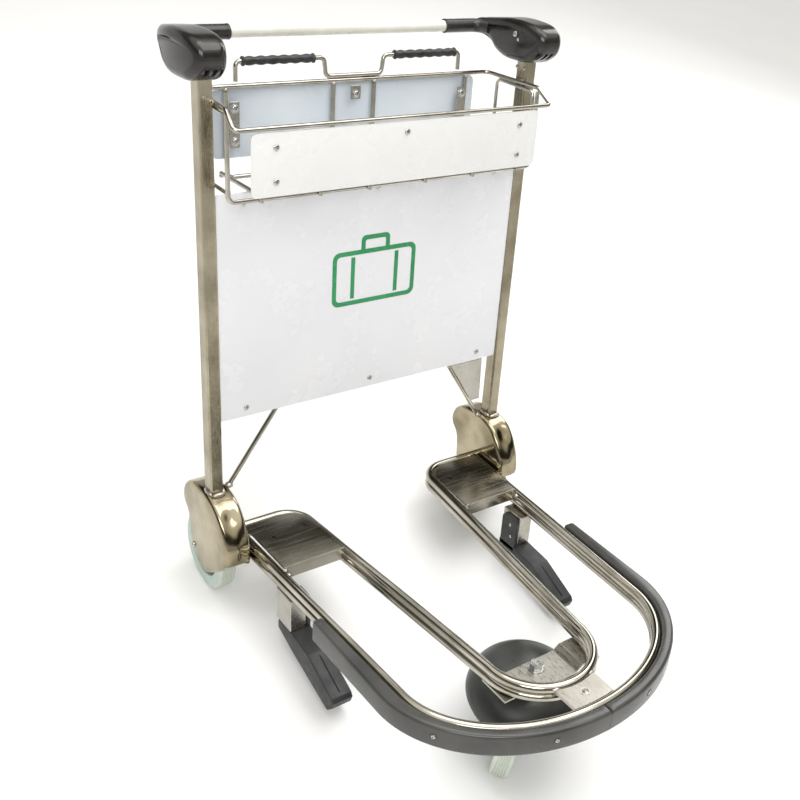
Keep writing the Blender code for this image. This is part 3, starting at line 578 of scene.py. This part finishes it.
def boards():
    slab("panel", 0.3053, 0.3582, 0.7710, 0.004, 0.0031, 0.0059, "white", "main_panel")
    slab("rear_board", 0.265, 0.797, 0.9105, 0.012, 0.1015, 0.1045, "pale", "back_board")
    slab("front_plate", 0.282, 0.786, 0.887, 0.010, -0.0765, -0.0735, "front", "front_board")
    spots = [(x, z) for x in (-0.257, 0.0, 0.257) for z in (0.376, 0.753)]
    for number, (x, z) in enumerate(spots, 1):
        screw(f"panel_screw_{number}", (x, 0.0032, z), (0, -1, 0), 0.0052)
    spots = [(-0.24, 0.863), (-0.24, 0.809), (0.24, 0.863), (0.24, 0.809), (0.0, 0.869)]
    for number, (x, z) in enumerate(spots, 1):
        screw(f"front_board_screw_{number}", (x, -0.0764, z), (0, -1, 0), 0.0054)
    for side_name, side in SIDES:
        paint(f"board_strap_{side_name}", "bracket")
        for number, z in ((1, 0.882), (2, 0.828)):
            place = (side * 0.229, 0.0884, z)
            ring_washer(f"strap_washer_{side_name}_{number}", place, (0, -1, 0), 0.0080, 0.003, 0.0012)
            screw(f"strap_screw_{side_name}_{number}", (place[0], 0.0873, z), (0, -1, 0), 0.0062)
    paint("board_clip", "bracket")
    ring_washer("clip_washer", (0, 0.0884, 0.893), (0, -1, 0), 0.0075, 0.003, 0.0012)
    screw("clip_screw", (0, 0.0873, 0.893), (0, -1, 0), 0.0056)


def paint(node_name, mat):
    """A CAD node that shows as it is, with its finish."""
    obj = frame["nodes"][node_name]
    obj.data.materials.clear()
    obj.data.materials.append(MATERIALS[mat])
    smooth_faces = [True] * len(obj.data.polygons)
    obj.data.polygons.foreach_set("use_smooth", smooth_faces)
    return obj


def pictogram():
    """A plain suitcase sign in green, printed proud of the panel by a hair."""
    y_low, y_high = 0.0026, 0.0030
    mid_x, mid_z, half_x, half_z, stroke = 0.0, 0.588, 0.088, 0.052, 0.0085

    def loop(name, half_w, half_h, radius, centre_z):
        corners = [
            (mid_x - half_w, centre_z - half_h, 0),
            (mid_x + half_w, centre_z - half_h, 0),
            (mid_x + half_w, centre_z + half_h, 0),
            (mid_x - half_w, centre_z + half_h, 0),
        ]
        return pillow(
            name, [(p.x, p.y) for p in rounded(corners, radius, 8, True)], y_low, y_high, "Y", 0.0, 1
        )

    def hole(name, half_w, half_h, radius, centre_z):
        made = loop(name, half_w, half_h, radius, centre_z)
        about = Matrix.Translation((0, 0.0028, 0))
        return shifted(made, about @ Matrix.Diagonal((1, 4, 1, 1)) @ about.inverted())

    case = loop("case", half_x, half_z, 0.014, mid_z)
    subtract(case, hole("case_hole", half_x - stroke, half_z - stroke, 0.008, mid_z))
    grip = loop("grip", 0.030, 0.020, 0.009, mid_z + half_z + 0.006)
    subtract(grip, hole("grip_hole", 0.030 - stroke, 0.020 - stroke, 0.004, mid_z + half_z + 0.006))
    subtract(grip, hole("grip_cut", 0.05, 0.02, 0.001, mid_z + half_z - 0.0202))
    pieces = [case, grip]
    for x in (-0.046, 0.046):
        bar = pillow(
            "band",
            [(x - 0.004, mid_z - half_z + stroke + 0.004), (x + 0.004, mid_z - half_z + stroke + 0.004),
             (x + 0.004, mid_z + half_z - stroke - 0.004), (x - 0.004, mid_z + half_z - stroke - 0.004)],
            y_low, y_high, "Y", 0.0, 1,
        )
        pieces.append(bar)
    settle(merged("panel_sign", pieces), "sign")


# ---------------------------------------------------------------- basket

WIRE = 0.0039
RIM_Z, RIM_FRONT_Z, BACK_Y = 0.916, 0.893, 0.096
HOOP_Y, HOOP_LOW = -0.041, 0.772
HOOP_X, HOOP_TOP = 0.3045, 0.909
LOOP_X, LOOP_LOW, LOOP_HIGH, LOOP_BACK_Y, LOOP_FRONT_Y = 0.3005, 0.784, 0.908, 0.073, -0.0333
CARRY_Z = 0.955
FLOOR_WIRES_X = (-0.2505, -0.144, -0.0505, 0.063, 0.1665, 0.270)


def basket():
    rim = rounded(
        [
            (-0.292, BACK_Y, RIM_Z),
            (0.292, BACK_Y, RIM_Z),
            (0.3055, -0.039, RIM_Z),
            (0.309, -0.0745, RIM_FRONT_Z),
            (-0.309, -0.0745, RIM_FRONT_Z),
            (-0.3055, -0.039, RIM_Z),
        ],
        [0.012, 0.012, 0.012, 0.008, 0.008, 0.012],
        closed=True,
    )
    wire_piece("rim_wire", rim, ["basket_rim"], True)
    top = RIM_Z - 2 * WIRE
    corners = [(-0.241, BACK_Y, top), (-0.241, BACK_Y, 0.766), (0.241, BACK_Y, 0.766), (0.241, BACK_Y, top)]
    wire_piece("back_frame_wire", rounded(corners, 0.012), ["basket_back_frame"])
    for side_name, side in SIDES:
        corners = [
            (side * LOOP_X, LOOP_BACK_Y, LOOP_HIGH),
            (side * LOOP_X, LOOP_BACK_Y, LOOP_LOW),
            (side * LOOP_X, LOOP_FRONT_Y, LOOP_LOW),
            (side * LOOP_X, LOOP_FRONT_Y, LOOP_HIGH),
        ]
        loop = rounded(corners, 0.012, closed=True)
        wire_piece(f"side_loop_{side_name}", loop, [f"basket_side_frame_{side_name}"], True, 0.0034)
        bead(f"side_weld_{side_name}_1", (side * 0.3020, 0.055, 0.9115), 0.0042, stretch=(0.8, 1.8, 0.8))
        bead(f"side_weld_{side_name}_2", (side * 0.3028, -0.0375, 0.788), 0.0044)
        bead(f"side_weld_{side_name}_3", (side * 0.3055, 0.012, 0.9155), 0.0062, stretch=(0.6, 1.6, 1.0))
        x = side * 0.041
        wire_piece(
            f"back_wire_{side_name}",
            [(x, BACK_Y, 0.774), (x, BACK_Y, top)],
            [f"basket_back_wire_{side_name}"],
        )
    hoop = rounded(
        [
            (-HOOP_X, HOOP_Y, HOOP_TOP),
            (-HOOP_X, HOOP_Y, HOOP_LOW),
            (HOOP_X, HOOP_Y, HOOP_LOW),
            (HOOP_X, HOOP_Y, HOOP_TOP),
        ],
        0.012,
    )
    wire_piece("front_hoop", hoop, ["basket_floor_wires"])
    front_z, hook_y = HOOP_LOW + 1.6 * WIRE, HOOP_Y - 1.7 * WIRE
    for number, x in enumerate(FLOOR_WIRES_X, 1):
        ends = [(x, BACK_Y + 0.002, 0.7741), (x, hook_y, front_z), (x, hook_y, front_z - 0.0095)]
        wire_piece(f"floor_wire_{number}", rounded(ends, 0.004), [])
        bead(f"floor_weld_{number}", (x, HOOP_Y, HOOP_LOW + 0.003), 0.0046)
        bead(f"floor_weld_rear_{number}", (x, BACK_Y, 0.7702), 0.0044)
    for x in (-0.241, -0.041, 0.041, 0.241):
        bead(f"rim_weld_{'n' if x < 0 else 'p'}{round(abs(x) * 1000)}", (x, BACK_Y, RIM_Z - WIRE), 0.0047)


def wire_piece(name, points, replaced, closed=False, radius=WIRE):
    return settle(tube(name, points, radius, closed), "wire", replaced=replaced)


def bead(name, place, radius, stretch=(1, 1, 0.7)):
    """A small spot of weld metal."""
    mesh = bpy.data.meshes.new(name)
    shape = bmesh.new()
    bmesh.ops.create_icosphere(shape, subdivisions=3, radius=radius)
    for vertex in shape.verts:
        ripple = 1 + 0.10 * math.sin(vertex.co.x * 1900) * math.cos(vertex.co.y * 1500 + vertex.co.z * 1200)
        vertex.co = Vector([part * factor for part, factor in zip(vertex.co, stretch)]) * ripple
    shape.to_mesh(mesh)
    shape.free()
    mesh.shade_smooth()
    made = bpy.data.objects.new(name, mesh)
    return settle(made, "weld", matrix=LEANED @ Matrix.Translation(place))


def carry_handle():
    foot = RIM_Z + 2 * WIRE
    path = rounded(
        [
            (-0.223, BACK_Y, foot),
            (-0.223, BACK_Y, CARRY_Z),
            (-0.0605, BACK_Y, CARRY_Z),
            (-0.0565, BACK_Y, foot),
            (0.0545, BACK_Y, foot),
            (0.0585, BACK_Y, CARRY_Z),
            (0.221, BACK_Y, CARRY_Z),
            (0.221, BACK_Y, foot),
        ],
        0.009,
    )
    wire_piece("carry_wire", path, ["carry_handle_wire"])
    for side_name, side in SIDES:
        length, ribs = 0.132, 6
        profile = [(0.0040, 0.0), (0.0072, 0.0), (0.0082, 0.0012), (0.0076, 0.0034)]
        for step in range(1, ribs * 10):
            along = step / (ribs * 10)
            wave = 0.5 - 0.5 * math.cos(2 * math.pi * ribs * along)
            profile.append((0.0060 + 0.0016 * wave ** 0.8, 0.0034 + (length - 0.0068) * along))
        profile += [
            (0.0076, length - 0.0034), (0.0082, length - 0.0012), (0.0072, length), (0.0040, length)
        ]
        grip = turned(f"ribbed_grip_{side_name}", profile, 36)
        place = Matrix.Translation((side * 0.146 - length / 2, BACK_Y, CARRY_Z))
        placed = LEANED @ place @ Matrix.Rotation(math.pi / 2, 4, "Y")
        settle(grip, "rubber", replaced=[f"carry_grip_{side_name}"], matrix=placed)


# ---------------------------------------------------------------- base

TUBE = 0.0089
LEVELS = (("upper", 0.116), ("lower", 0.098))
NOSE_Y, NOSE_LENGTH = -0.520, 0.187
INNER_NOSE_X, INNER_NOSE_Y = 0.099, -0.545


def outer_x(y):
    return 0.2785 + 0.0436 * y


def outer_path(z):
    rear = 0.0025
    nose = arc((0, NOSE_Y, z), outer_x(NOSE_Y), NOSE_LENGTH, 180, 360, 64)
    return [Vector((-outer_x(rear), rear, z))] + nose + [Vector((outer_x(rear), rear, z))]


def inner_path(z):
    corners = [(-0.2879, 0.012, z), (-0.1495, 0.012, z), (-INNER_NOSE_X, INNER_NOSE_Y, z)]
    half = rounded(corners, 0.052, 14)[:-1]
    nose = arc((0, INNER_NOSE_Y, z), INNER_NOSE_X, INNER_NOSE_X, 180, 360, 48)
    return half + nose + [Vector((-point.x, point.y, point.z)) for point in reversed(half)]


def base():
    for level, z in LEVELS:
        outer = tube(f"outer_ring_{level}", outer_path(z), TUBE, sides=10)
        settle(outer, "tube", replaced=[f"outer_tube_{level}"])
        inner = tube(f"inner_u_{level}", inner_path(z), TUBE, sides=10)
        settle(inner, "tube", replaced=[f"inner_tube_{level}"])
    for side_name, side in SIDES:
        deck(side_name, side)
    for name in ("tie_plate", "caster_bracket", "gusset_right"):
        smooth_edges(paint(name, "bracket"), 0.0006)
    corners = [(x, y) for y in (-0.644, -0.699) for x in (-0.036, 0.036)]
    for number, (x, y) in enumerate(corners, 1):
        bead(f"tie_weld_{number}", (x, y, 0.1185), 0.0052, stretch=(1.7, 0.8, 0.5))
    ring_washer("tie_hole_rim", (0, -0.673, 0.1190), (0, 0, 1), 0.0088, 0.0062, 0.0006, "weld")
    for side_name, side in SIDES:
        for number, y in ((1, -0.165), (2, 0.004)):
            place = (side * 0.262, y, 0.119)
            bead(f"deck_weld_{side_name}_{number}", place, 0.0050, stretch=(0.8, 1.4, 0.6))


def smooth_edges(obj, width):
    modifier = obj.modifiers.new("edge", "BEVEL")
    modifier.width = width
    modifier.segments = 2
    modifier.limit_method = "ANGLE"
    modifier.angle_limit = math.radians(50)


DECK_FRONT_Y, DECK_REAR_Y, DECK_TOP = -0.158, -0.006, 0.1290
DECK_HOLES = ((0.2395, -0.066), (0.170, -0.060))


def deck(side_name, side):
    corners = [
        (0.141, DECK_FRONT_Y, 0),
        (0.2665, DECK_FRONT_Y, 0),
        (0.2705, DECK_REAR_Y, 0),
        (0.147, DECK_REAR_Y, 0),
    ]
    outline = [(p.x * side, p.y) for p in rounded(corners, [0.004, 0.004, 0.004, 0.048], 12, True)]
    top = pillow(f"deck_{side_name}", outline, 0.1255, DECK_TOP, "Z", 0.0009, 3)
    for x, y in DECK_HOLES:
        circle = [(p.x, p.y) for p in arc((side * x, y, 0), 0.0036, 0.0036, 0, 345, 23)]
        subtract(top, pillow("hole", circle, 0.12, 0.14, "Z", 0.0, 1))
    low, high = sorted((side * 0.1475, side * 0.2595))
    bent = [
        (-0.1580, 0.104), (-0.1552, 0.104), (-0.1552, 0.1268), (-0.1500, 0.1268),
        (-0.1500, 0.1285), (-0.1562, 0.1285), (-0.1580, 0.1262),
    ]
    flange = pillow(f"flange_{side_name}", bent, low, high, "X", 0.0002, 1)
    settle(flange, "plate")
    settle(top, "plate", replaced=[f"deck_plate_{side_name}"])
    # A near-black disc at the bottom of each hole: painted shade standing in for the hole's dark depth.
    for number, (x, y) in enumerate(DECK_HOLES, 1):
        spot = turned(
            f"deck_hole_shade_{side_name}_{number}",
            [(0.0, 0.0), (0.0034, 0.0), (0.0034, 0.0006), (0.0, 0.0006)],
            20,
        )
        settle(spot, "dark", matrix=LEANED @ Matrix.Translation((side * x, y, 0.1258)))


def bumper():
    top, bottom = 0.128, 0.085
    for side_name, side in SIDES:
        outer = arc((0, -0.506, 0), 0.292, 0.231, 360, 270, 40)
        inner = arc((0, NOSE_Y, 0), outer_x(NOSE_Y) + 0.0094, NOSE_LENGTH + 0.0094, 270, 360, 40)
        start_x = outer_x(-0.306) + 0.0094
        points = [
            Vector((start_x, -0.306, 0)), Vector((0.2905, -0.306, 0)), Vector((0.2945, -0.311, 0))
        ] + outer + inner
        outline = [(max(point.x, 0.0003) * side, point.y) for point in points]
        shell = pillow(f"bumper_shell_{side_name}", outline, bottom, top, "Z", 0.0062, 5)
        settle(shell, "bumper", replaced=[f"bumper_{side_name}"])
        for number, angle in ((1, 290), (2, 332)):
            spot = arc((0, -0.506, 0.1065), 0.292, 0.231, angle, angle, 1)[0]
            normal = Vector(
                (math.cos(math.radians(angle)) / 0.292, math.sin(math.radians(angle)) / 0.231, 0)
            ).normalized()
            place, out = Vector((spot.x * side, spot.y, 0.1065)), Vector((normal.x * side, normal.y, 0))
            rim = turned(
                f"bumper_recess_{side_name}_{number}",
                [
                    (0.0044, -0.002), (0.0072, -0.002), (0.0072, 0.0002), (0.0066, 0.0006),
                    (0.0050, 0.0006), (0.0044, 0.0),
                ],
                32,
            )
            settle(rim, "bumper", matrix=facing(place, out))
            screw(f"bumper_screw_{side_name}_{number}", place - out * 0.0012, out, 0.0040)


# ---------------------------------------------------------------- escalator feet


def feet():
    profile = [
        (-0.158, 0.0), (-0.206, -0.018), (-0.338, -0.058), (-0.352, -0.044),
        (-0.357, -0.030), (-0.352, -0.022), (-0.268, 0.014), (-0.206, 0.020), (-0.158, 0.020),
    ]
    outline = [(p.x, p.y) for p in rounded([(y, z, 0) for y, z in profile], 0.004, 5, True)]
    cheek_outline = [
        (-0.160, 0.008), (-0.206, 0.008), (-0.206, 0.076), (-0.198, 0.0862), (-0.168, 0.0862),
        (-0.160, 0.076),
    ]
    cheek_outline = [(p.x, p.y) for p in rounded([(y, z, 0) for y, z in cheek_outline], 0.003, 5, True)]
    for side_name, side in SIDES:
        low, high = sorted((side * 0.2375, side * 0.2785))
        pad = pillow(f"foot_pad_{side_name}", outline, low, high, "X", 0.0022, 4)
        low, high = sorted((side * 0.2375, side * 0.2465))
        cheek = pillow(f"foot_cheek_{side_name}", cheek_outline, low, high, "X", 0.0015, 3)
        settle(
            merged(f"rubber_foot_{side_name}", [pad, cheek]),
            "rubber",
            replaced=[f"escalator_foot_{side_name}"],
        )
        # A thin near-black line on the pad: painted shade where a groove would be, not a cut groove.
        groove = tube(
            f"foot_groove_shade_{side_name}",
            [(side * 0.258, -0.275, 0.0108), (side * 0.258, -0.345, -0.0185)], 0.0012, sides=3,
        )
        settle(groove, "dark")
        paint(f"foot_bracket_{side_name}", "bracket")
        for number, (y, z) in enumerate(((-0.187, 0.066), (-0.192, 0.040)), 1):
            screw(f"foot_screw_{side_name}_{number}", (side * 0.2374, y, z), (-side, 0, 0), 0.0034)


# ---------------------------------------------------------------- wheels

HOUSING_INNER_X, HOUSING_OUTER_X, HOUSING_FRONT_X = 0.2885, 0.3405, 0.3145
HOUSING_CENTRE = (0.016, 0.124)
HOUSING_WALL, HOUSING_CHEEK = 0.0070, 0.002
HOUSING_OUTLINE = (
    (0.010, 0.033), (0.031, 0.028), (0.050, 0.042), (0.072, 0.059), (0.082, 0.084),
    (0.084, 0.108), (0.089, 0.132), (0.1045, 0.150), (0.1075, 0.170), (0.096, 0.192), (0.072, 0.2065),
    (0.038, 0.2128), (0.002, 0.2128), (-0.028, 0.2035), (-0.050, 0.184), (-0.066, 0.156),
    (-0.0745, 0.128), (-0.0755, 0.104), (-0.064, 0.086), (-0.042, 0.068), (-0.018, 0.050),
)


def ridge(value, middle, width):
    """A smooth bump of height 1 at the middle."""
    return math.exp(-(((value - middle) / width) ** 2))


def housing_shape(side):
    """Gives the front of a cover its dome, the hollow above it and the crease low on its inner side."""

    def shape(point):
        x, z = side * point.x, point.z
        front = min(1.0, max(0.0, (0.02 - point.y) / 0.04))
        dome = ridge(x, HOUSING_FRONT_X, 0.015) * ridge(z, 0.138, 0.030)
        hollow = ridge(x, HOUSING_FRONT_X, 0.012) * ridge(z, 0.188, 0.014)
        crease = 0.0040 * ridge(z, 0.092, 0.009) - 0.0036 * ridge(z, 0.110, 0.0045)
        push = 0.0062 * dome - 0.0042 * hollow + crease * ridge(x, HOUSING_INNER_X, 0.010)
        away = Vector((0, point.y - HOUSING_CENTRE[0], z - HOUSING_CENTRE[1])).normalized()
        return point + away * front * push

    return shape


def housing(side_name, side):
    low, high = sorted((side * HOUSING_INNER_X, side * HOUSING_OUTER_X))
    outline = flowing(HOUSING_OUTLINE, 8)
    shape = housing_shape(side)
    shell = pillow(f"pressed_cover_{side_name}", outline, low, high, "X", 0.0095, 6, 38, shape, 10)
    middle = Vector(HOUSING_CENTRE)
    hollow = []
    for point in outline:
        away = (point - middle).normalized()
        covered = point.y > (0.136 if point.x > 0.05 else 0.1)
        hollow.append(point - away * HOUSING_WALL if covered else point + away * 0.02)
    cavity = pillow("cavity", hollow, low + HOUSING_CHEEK, high - HOUSING_CHEEK, "X", 0.006, 4)
    subtract(shell, cavity, "MANIFOLD")
    settle(shell, "housing", replaced=[f"wheel_housing_{side_name}"])
    welds = ((UPRIGHT_X, -0.0045, 0.2135), (0.3055, 0.012, 0.2138), (0.3305, 0.012, 0.2138))
    for number, (x, y, z) in enumerate(welds, 1):
        stretch = (2.2, 1.0, 0.8) if number == 1 else (0.8, 2.6, 0.8)
        bead(f"upright_weld_{side_name}_{number}", (side * x, y, z), 0.0058, stretch=stretch)
    bead(f"brace_weld_{side_name}", (side * 0.2875, 0.017, 0.2140), 0.0078)
    screw(f"cover_bolt_{side_name}", (side * 0.3403, 0.064, 0.069), (side, 0, 0), 0.0058)


def tyre_profile(radius, bore, width, grooves):
    half, edge, depth = width / 2, 0.0035, 0.0016
    profile = [(bore, -half * 0.8), (bore + 0.002, -half)]
    profile += [
        (radius - edge + edge * math.sin(math.radians(a)), -half + edge * (1 - math.cos(math.radians(a))))
        for a in (0, 30, 60, 90)
    ]
    pitch = (width - 2 * edge) / (grooves + 1)
    for number in range(1, grooves + 1):
        z = -half + edge + pitch * number
        profile += [
            (radius, z - 0.0014), (radius - depth * 0.8, z - 0.0008), (radius - depth, z),
            (radius - depth * 0.8, z + 0.0008), (radius, z + 0.0014),
        ]
    profile += [
        (radius - edge + edge * math.sin(math.radians(a)), half - edge * (1 - math.cos(math.radians(a))))
        for a in (90, 60, 30, 0)
    ]
    profile += [(bore + 0.002, half), (bore, half * 0.8)]
    return profile


def hub_profile(radius, half):
    return [
        (0.0057, half - 0.001), (0.012, half - 0.001), (0.0135, half - 0.002), (0.015, half - 0.0065),
        (radius - 0.009, half - 0.0075), (radius - 0.006, half - 0.0065), (radius - 0.0035, half - 0.0012),
        (radius, half - 0.001), (radius, -half + 0.001), (radius - 0.0035, -half + 0.0012),
        (radius - 0.006, -half + 0.0065), (radius - 0.009, -half + 0.0075), (0.015, -half + 0.0065),
        (0.0135, -half + 0.002), (0.012, -half + 0.001), (0.0057, -half + 0.001),
    ]


def wheel(prefix, suffix, body, joint, radius, bore, width, nodes):
    """A tyre and a ribbed hub round the joint's axis."""
    centre = Vector(JOINTS[joint]["pos_m"])
    turn = Vector(JOINTS[joint]["axis"]).to_track_quat("Z", "Y").to_matrix().to_4x4()
    matrix = Matrix.Translation(centre) @ turn
    tyre = turned(f"{prefix}_tread{suffix}", tyre_profile(radius, bore, width, 5), 96)
    settle(tyre, "tyre", body, [nodes[0]], matrix)
    hub = turned(f"{prefix}_rim{suffix}", hub_profile(bore - 0.0003, width / 2), 72)
    settle(hub, "hub", body, [nodes[1]], matrix)
    for side in (-1, 1):
        ring = turned(
            f"{prefix}_face{suffix}_{'a' if side < 0 else 'b'}",
            [
                (bore + 0.0020, side * (width / 2 - 0.0008)),
                (bore + 0.0026, side * (width / 2 + 0.0004)),
                (radius - 0.0052, side * (width / 2 + 0.0004)),
                (radius - 0.0042, side * (width / 2 - 0.0008)),
            ],
            96,
        )
        settle(ring, "face", body, matrix=matrix)
    for side in (-1, 1):
        ribs = []
        for number in range(6):
            reach = bore - 0.010
            rib = box_mesh("rib", (0.0130, -0.0016, -0.0015), (reach, 0.0016, 0.0015), 0.0006)
            rib.data.transform(Matrix.Translation((0, 0, side * (width / 2 - 0.0062))))
            rib.data.transform(Matrix.Rotation(math.radians(60 * number), 4, "Z"))
            ribs.append(rib)
        end = "a" if side < 0 else "b"
        settle(merged(f"{prefix}_ribs{suffix}_{end}", ribs), "hub", body, matrix=matrix)


def rear_wheels():
    for side_name, side in SIDES:
        housing(side_name, side)
        wheel(
            "rear", f"_{side_name}", f"rear_wheel_{side_name}", f"rear_wheel_{side_name}_spin",
            0.075, 0.049, 0.030, (f"rear_tyre_{side_name}", f"rear_hub_{side_name}"),
        )
        brace(side_name, side)


def brace(side_name, side):
    points = [(0.2845, 0.017, 0.2185), (0.196, 0.012, 0.352), (0.189, 0.012, 0.366), (0.186, 0.0115, 0.385)]
    path = rounded([(x * side, y, z) for x, y, z in points], [0, 0.01, 0.01, 0], 6)
    settle(
        tube(f"brace_rod_{side_name}", path, 0.0045, sides=6),
        "tube",
        replaced=[f"brace_{side_name}"],
    )


CASTER_HEADING, CASTER_TRAIL, CASTER_RADIUS = math.radians(-52), 0.058, 0.064
CHEEK_INNER_X, CHEEK_OUTER_X = 0.0215, 0.0248
HOOD_STEPS = 28


def caster():
    swivel = Vector(JOINTS["caster_swivel"]["pos_m"])
    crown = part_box("caster_hood")[1][2]
    matrix = Matrix.Translation((swivel.x, swivel.y, 0)) @ Matrix.Rotation(CASTER_HEADING, 4, "Z")
    hood = merged("hood_shell", [hood_dome(crown), *hood_cheeks(crown)])
    settle(hood, "hood", "caster_fork", ["caster_hood"], matrix)
    nut = [(0.0, 0.0), (0.0085, 0.0), (0.0085, 0.004), (0.0075, 0.005), (0.0, 0.005)]
    for side in (-1, 1):
        bolt = turned(f"fork_nut_{'a' if side < 0 else 'b'}", nut, 6, 20)
        place = Matrix.Translation((side * CHEEK_OUTER_X, -CASTER_TRAIL, CASTER_RADIUS))
        turn = Matrix.Rotation(side * math.pi / 2, 4, "Y")
        settle(bolt, "zinc", "caster_fork", matrix=matrix @ place @ turn)
    nodes = ("caster_tyre", "caster_hub")
    wheel("caster", "", "caster_wheel", "caster_wheel_spin", CASTER_RADIUS, 0.036, 0.034, nodes)
    pin = (0, -0.556, 0.0788)
    ring_washer("kingpin_washer", pin, (0, 0, 1), 0.0155, 0.006, 0.0016)


def hood_dome(crown):
    """The round cap of the hood, open below, with a small hole for the kingpin."""
    radius, drop, thick, hole = 0.108, 0.062, 0.003, 0.0075
    turns = [math.radians(90 * step / HOOD_STEPS) for step in range(HOOD_STEPS + 1)]
    profile = [(hole, crown)]
    for turn in turns[1:]:
        profile.append((hole + (radius - hole) * math.sin(turn), crown - drop * (1 - math.cos(turn))))
    profile += [(radius - 0.0008, crown - drop - 0.0012), (radius - 0.0024, crown - drop - 0.0012)]
    for turn in reversed(turns):
        reach = (radius - hole - thick) * math.sin(turn)
        profile.append((hole + reach, crown - thick - (drop - thick) * (1 - math.cos(turn))))
    return turned("hood_dome", profile, 96)


def hood_cheeks(crown):
    """The two plates that carry the wheel, one on each side of it."""
    trail = CASTER_TRAIL
    outline = [
        (-trail, 0.050), (-trail + 0.014, 0.056), (-0.010, 0.100), (0.030, 0.128), (0.052, crown - 0.030),
        (0.020, crown - 0.006), (-0.060, crown - 0.018), (-trail - 0.030, 0.112),
        (-trail - 0.020, 0.075), (-trail - 0.013, 0.055),
    ]
    cheeks = []
    for side in (-1, 1):
        low, high = sorted((side * CHEEK_INNER_X, side * CHEEK_OUTER_X))
        cheeks.append(pillow("cheek", flowing(outline, 5), low, high, "X", 0.0008, 2))
    return cheeks


# ---------------------------------------------------------------- hidden pieces, stage, lights and camera


def hidden_parts():
    for name in (
        "kingpin",
        "caster_axle",
        "rear_axle_left",
        "rear_axle_right",
        "handle_pivot_left",
        "handle_pivot_right",
        "brake_rod_left",
        "brake_rod_right",
    ):
        paint(name, "zinc")
    for name in ("brake_shoe_left", "brake_shoe_right"):
        paint(name, "rubber")


def stage():
    mesh = bpy.data.meshes.new("floor")
    shape = bmesh.new()
    bmesh.ops.create_grid(shape, x_segments=1, y_segments=1, size=90)
    shape.to_mesh(mesh)
    shape.free()
    floor = bpy.data.objects.new("floor", mesh)
    bpy.context.scene.collection.objects.link(floor)
    made, tree, shader = new_material("pale_floor", (0.93, 0.93, 0.93), 0.75)
    soft = noise(tree, coordinates(tree), 3.0)
    tree.links.new(
        blend_colors(tree, soft, (0.92, 0.92, 0.92), (0.94, 0.94, 0.94)), shader.inputs["Base Color"]
    )
    mesh.materials.append(made)
    surroundings()


def surroundings():
    """A plain studio: pale at the horizon, a darker band for the metal to reflect, and a bright ceiling."""
    world = bpy.data.worlds.new("studio")
    bpy.context.scene.world = world
    world.use_nodes = True
    tree = world.node_tree
    place = tree.nodes.new("ShaderNodeTexCoord")
    parts = tree.nodes.new("ShaderNodeSeparateXYZ")
    tree.links.new(place.outputs["Generated"], parts.inputs["Vector"])
    ramp = tree.nodes.new("ShaderNodeValToRGB")
    tree.links.new(parts.outputs["Z"], ramp.inputs["Fac"])
    stops = (
        (0.0, (1.0, 1.0, 1.0)),
        (0.19, (1.0, 1.0, 1.0)),
        (0.30, (0.05, 0.047, 0.035)),
        (0.56, (0.07, 0.065, 0.05)),
        (0.68, (1.7, 1.65, 1.5)),
        (1.0, (2.2, 2.2, 2.2)),
    )
    for index, (position, color) in enumerate(stops):
        stop = ramp.color_ramp.elements[index] if index < 2 else ramp.color_ramp.elements.new(position)
        stop.position = position
        stop.color = (*color, 1)
    tree.links.new(ramp.outputs["Color"], tree.nodes["Background"].inputs["Color"])
    tree.nodes["Background"].inputs["Strength"].default_value = 0.60


def soft_light(name, place, target, size, power):
    light = bpy.data.lights.new(name, "AREA")
    light.shape = "RECTANGLE"
    light.size, light.size_y = size
    light.energy = power
    obj = bpy.data.objects.new(name, light)
    obj.location = place
    obj.rotation_euler = (Vector(target) - Vector(place)).to_track_quat("-Z", "Y").to_euler()
    bpy.context.scene.collection.objects.link(obj)


def lights():
    soft_light("key", (-2.2, -2.4, 3.2), (0, 0, 0.5), (2.4, 1.6), 62)
    soft_light("overhead", (0.4, 0.2, 3.4), (0, 0, 0.3), (3.0, 2.0), 55)
    soft_light("rim", (2.6, 1.4, 2.2), (0, 0, 0.5), (1.2, 2.4), 33)


def camera():
    """The viewpoint, measured in the leaned frame: azimuth, elevation and roll of the line of sight."""
    azimuth, elevation, roll = (math.radians(a) for a in (-40.39, 28.50, 6.20))
    back = Vector(
        (
            math.sin(azimuth) * math.cos(elevation),
            -math.cos(azimuth) * math.cos(elevation),
            math.sin(elevation),
        )
    )
    level = Vector((-back.y, back.x, 0)).normalized()
    upward = back.cross(level)
    right = level * math.cos(roll) + upward * math.sin(roll)
    up = upward * math.cos(roll) - level * math.sin(roll)
    turn = Matrix((right, up, back)).transposed().to_4x4()
    data = bpy.data.cameras.new("camera")
    data.sensor_width = 36
    data.lens = 48.42
    data.shift_x = -0.1103
    data.shift_y = 0.0140
    obj = bpy.data.objects.new("camera", data)
    obj.matrix_world = LEANED @ Matrix.Translation((-1.0102, -1.5450, 1.3264)) @ turn
    bpy.context.scene.collection.objects.link(obj)
    bpy.context.scene.camera = obj


uprights()
handle()
boards()
pictogram()
basket()
carry_handle()
base()
bumper()
feet()
rear_wheels()
caster()
hidden_parts()
stage()
lights()
camera()
bpy.context.scene.view_settings.view_transform = "Standard"
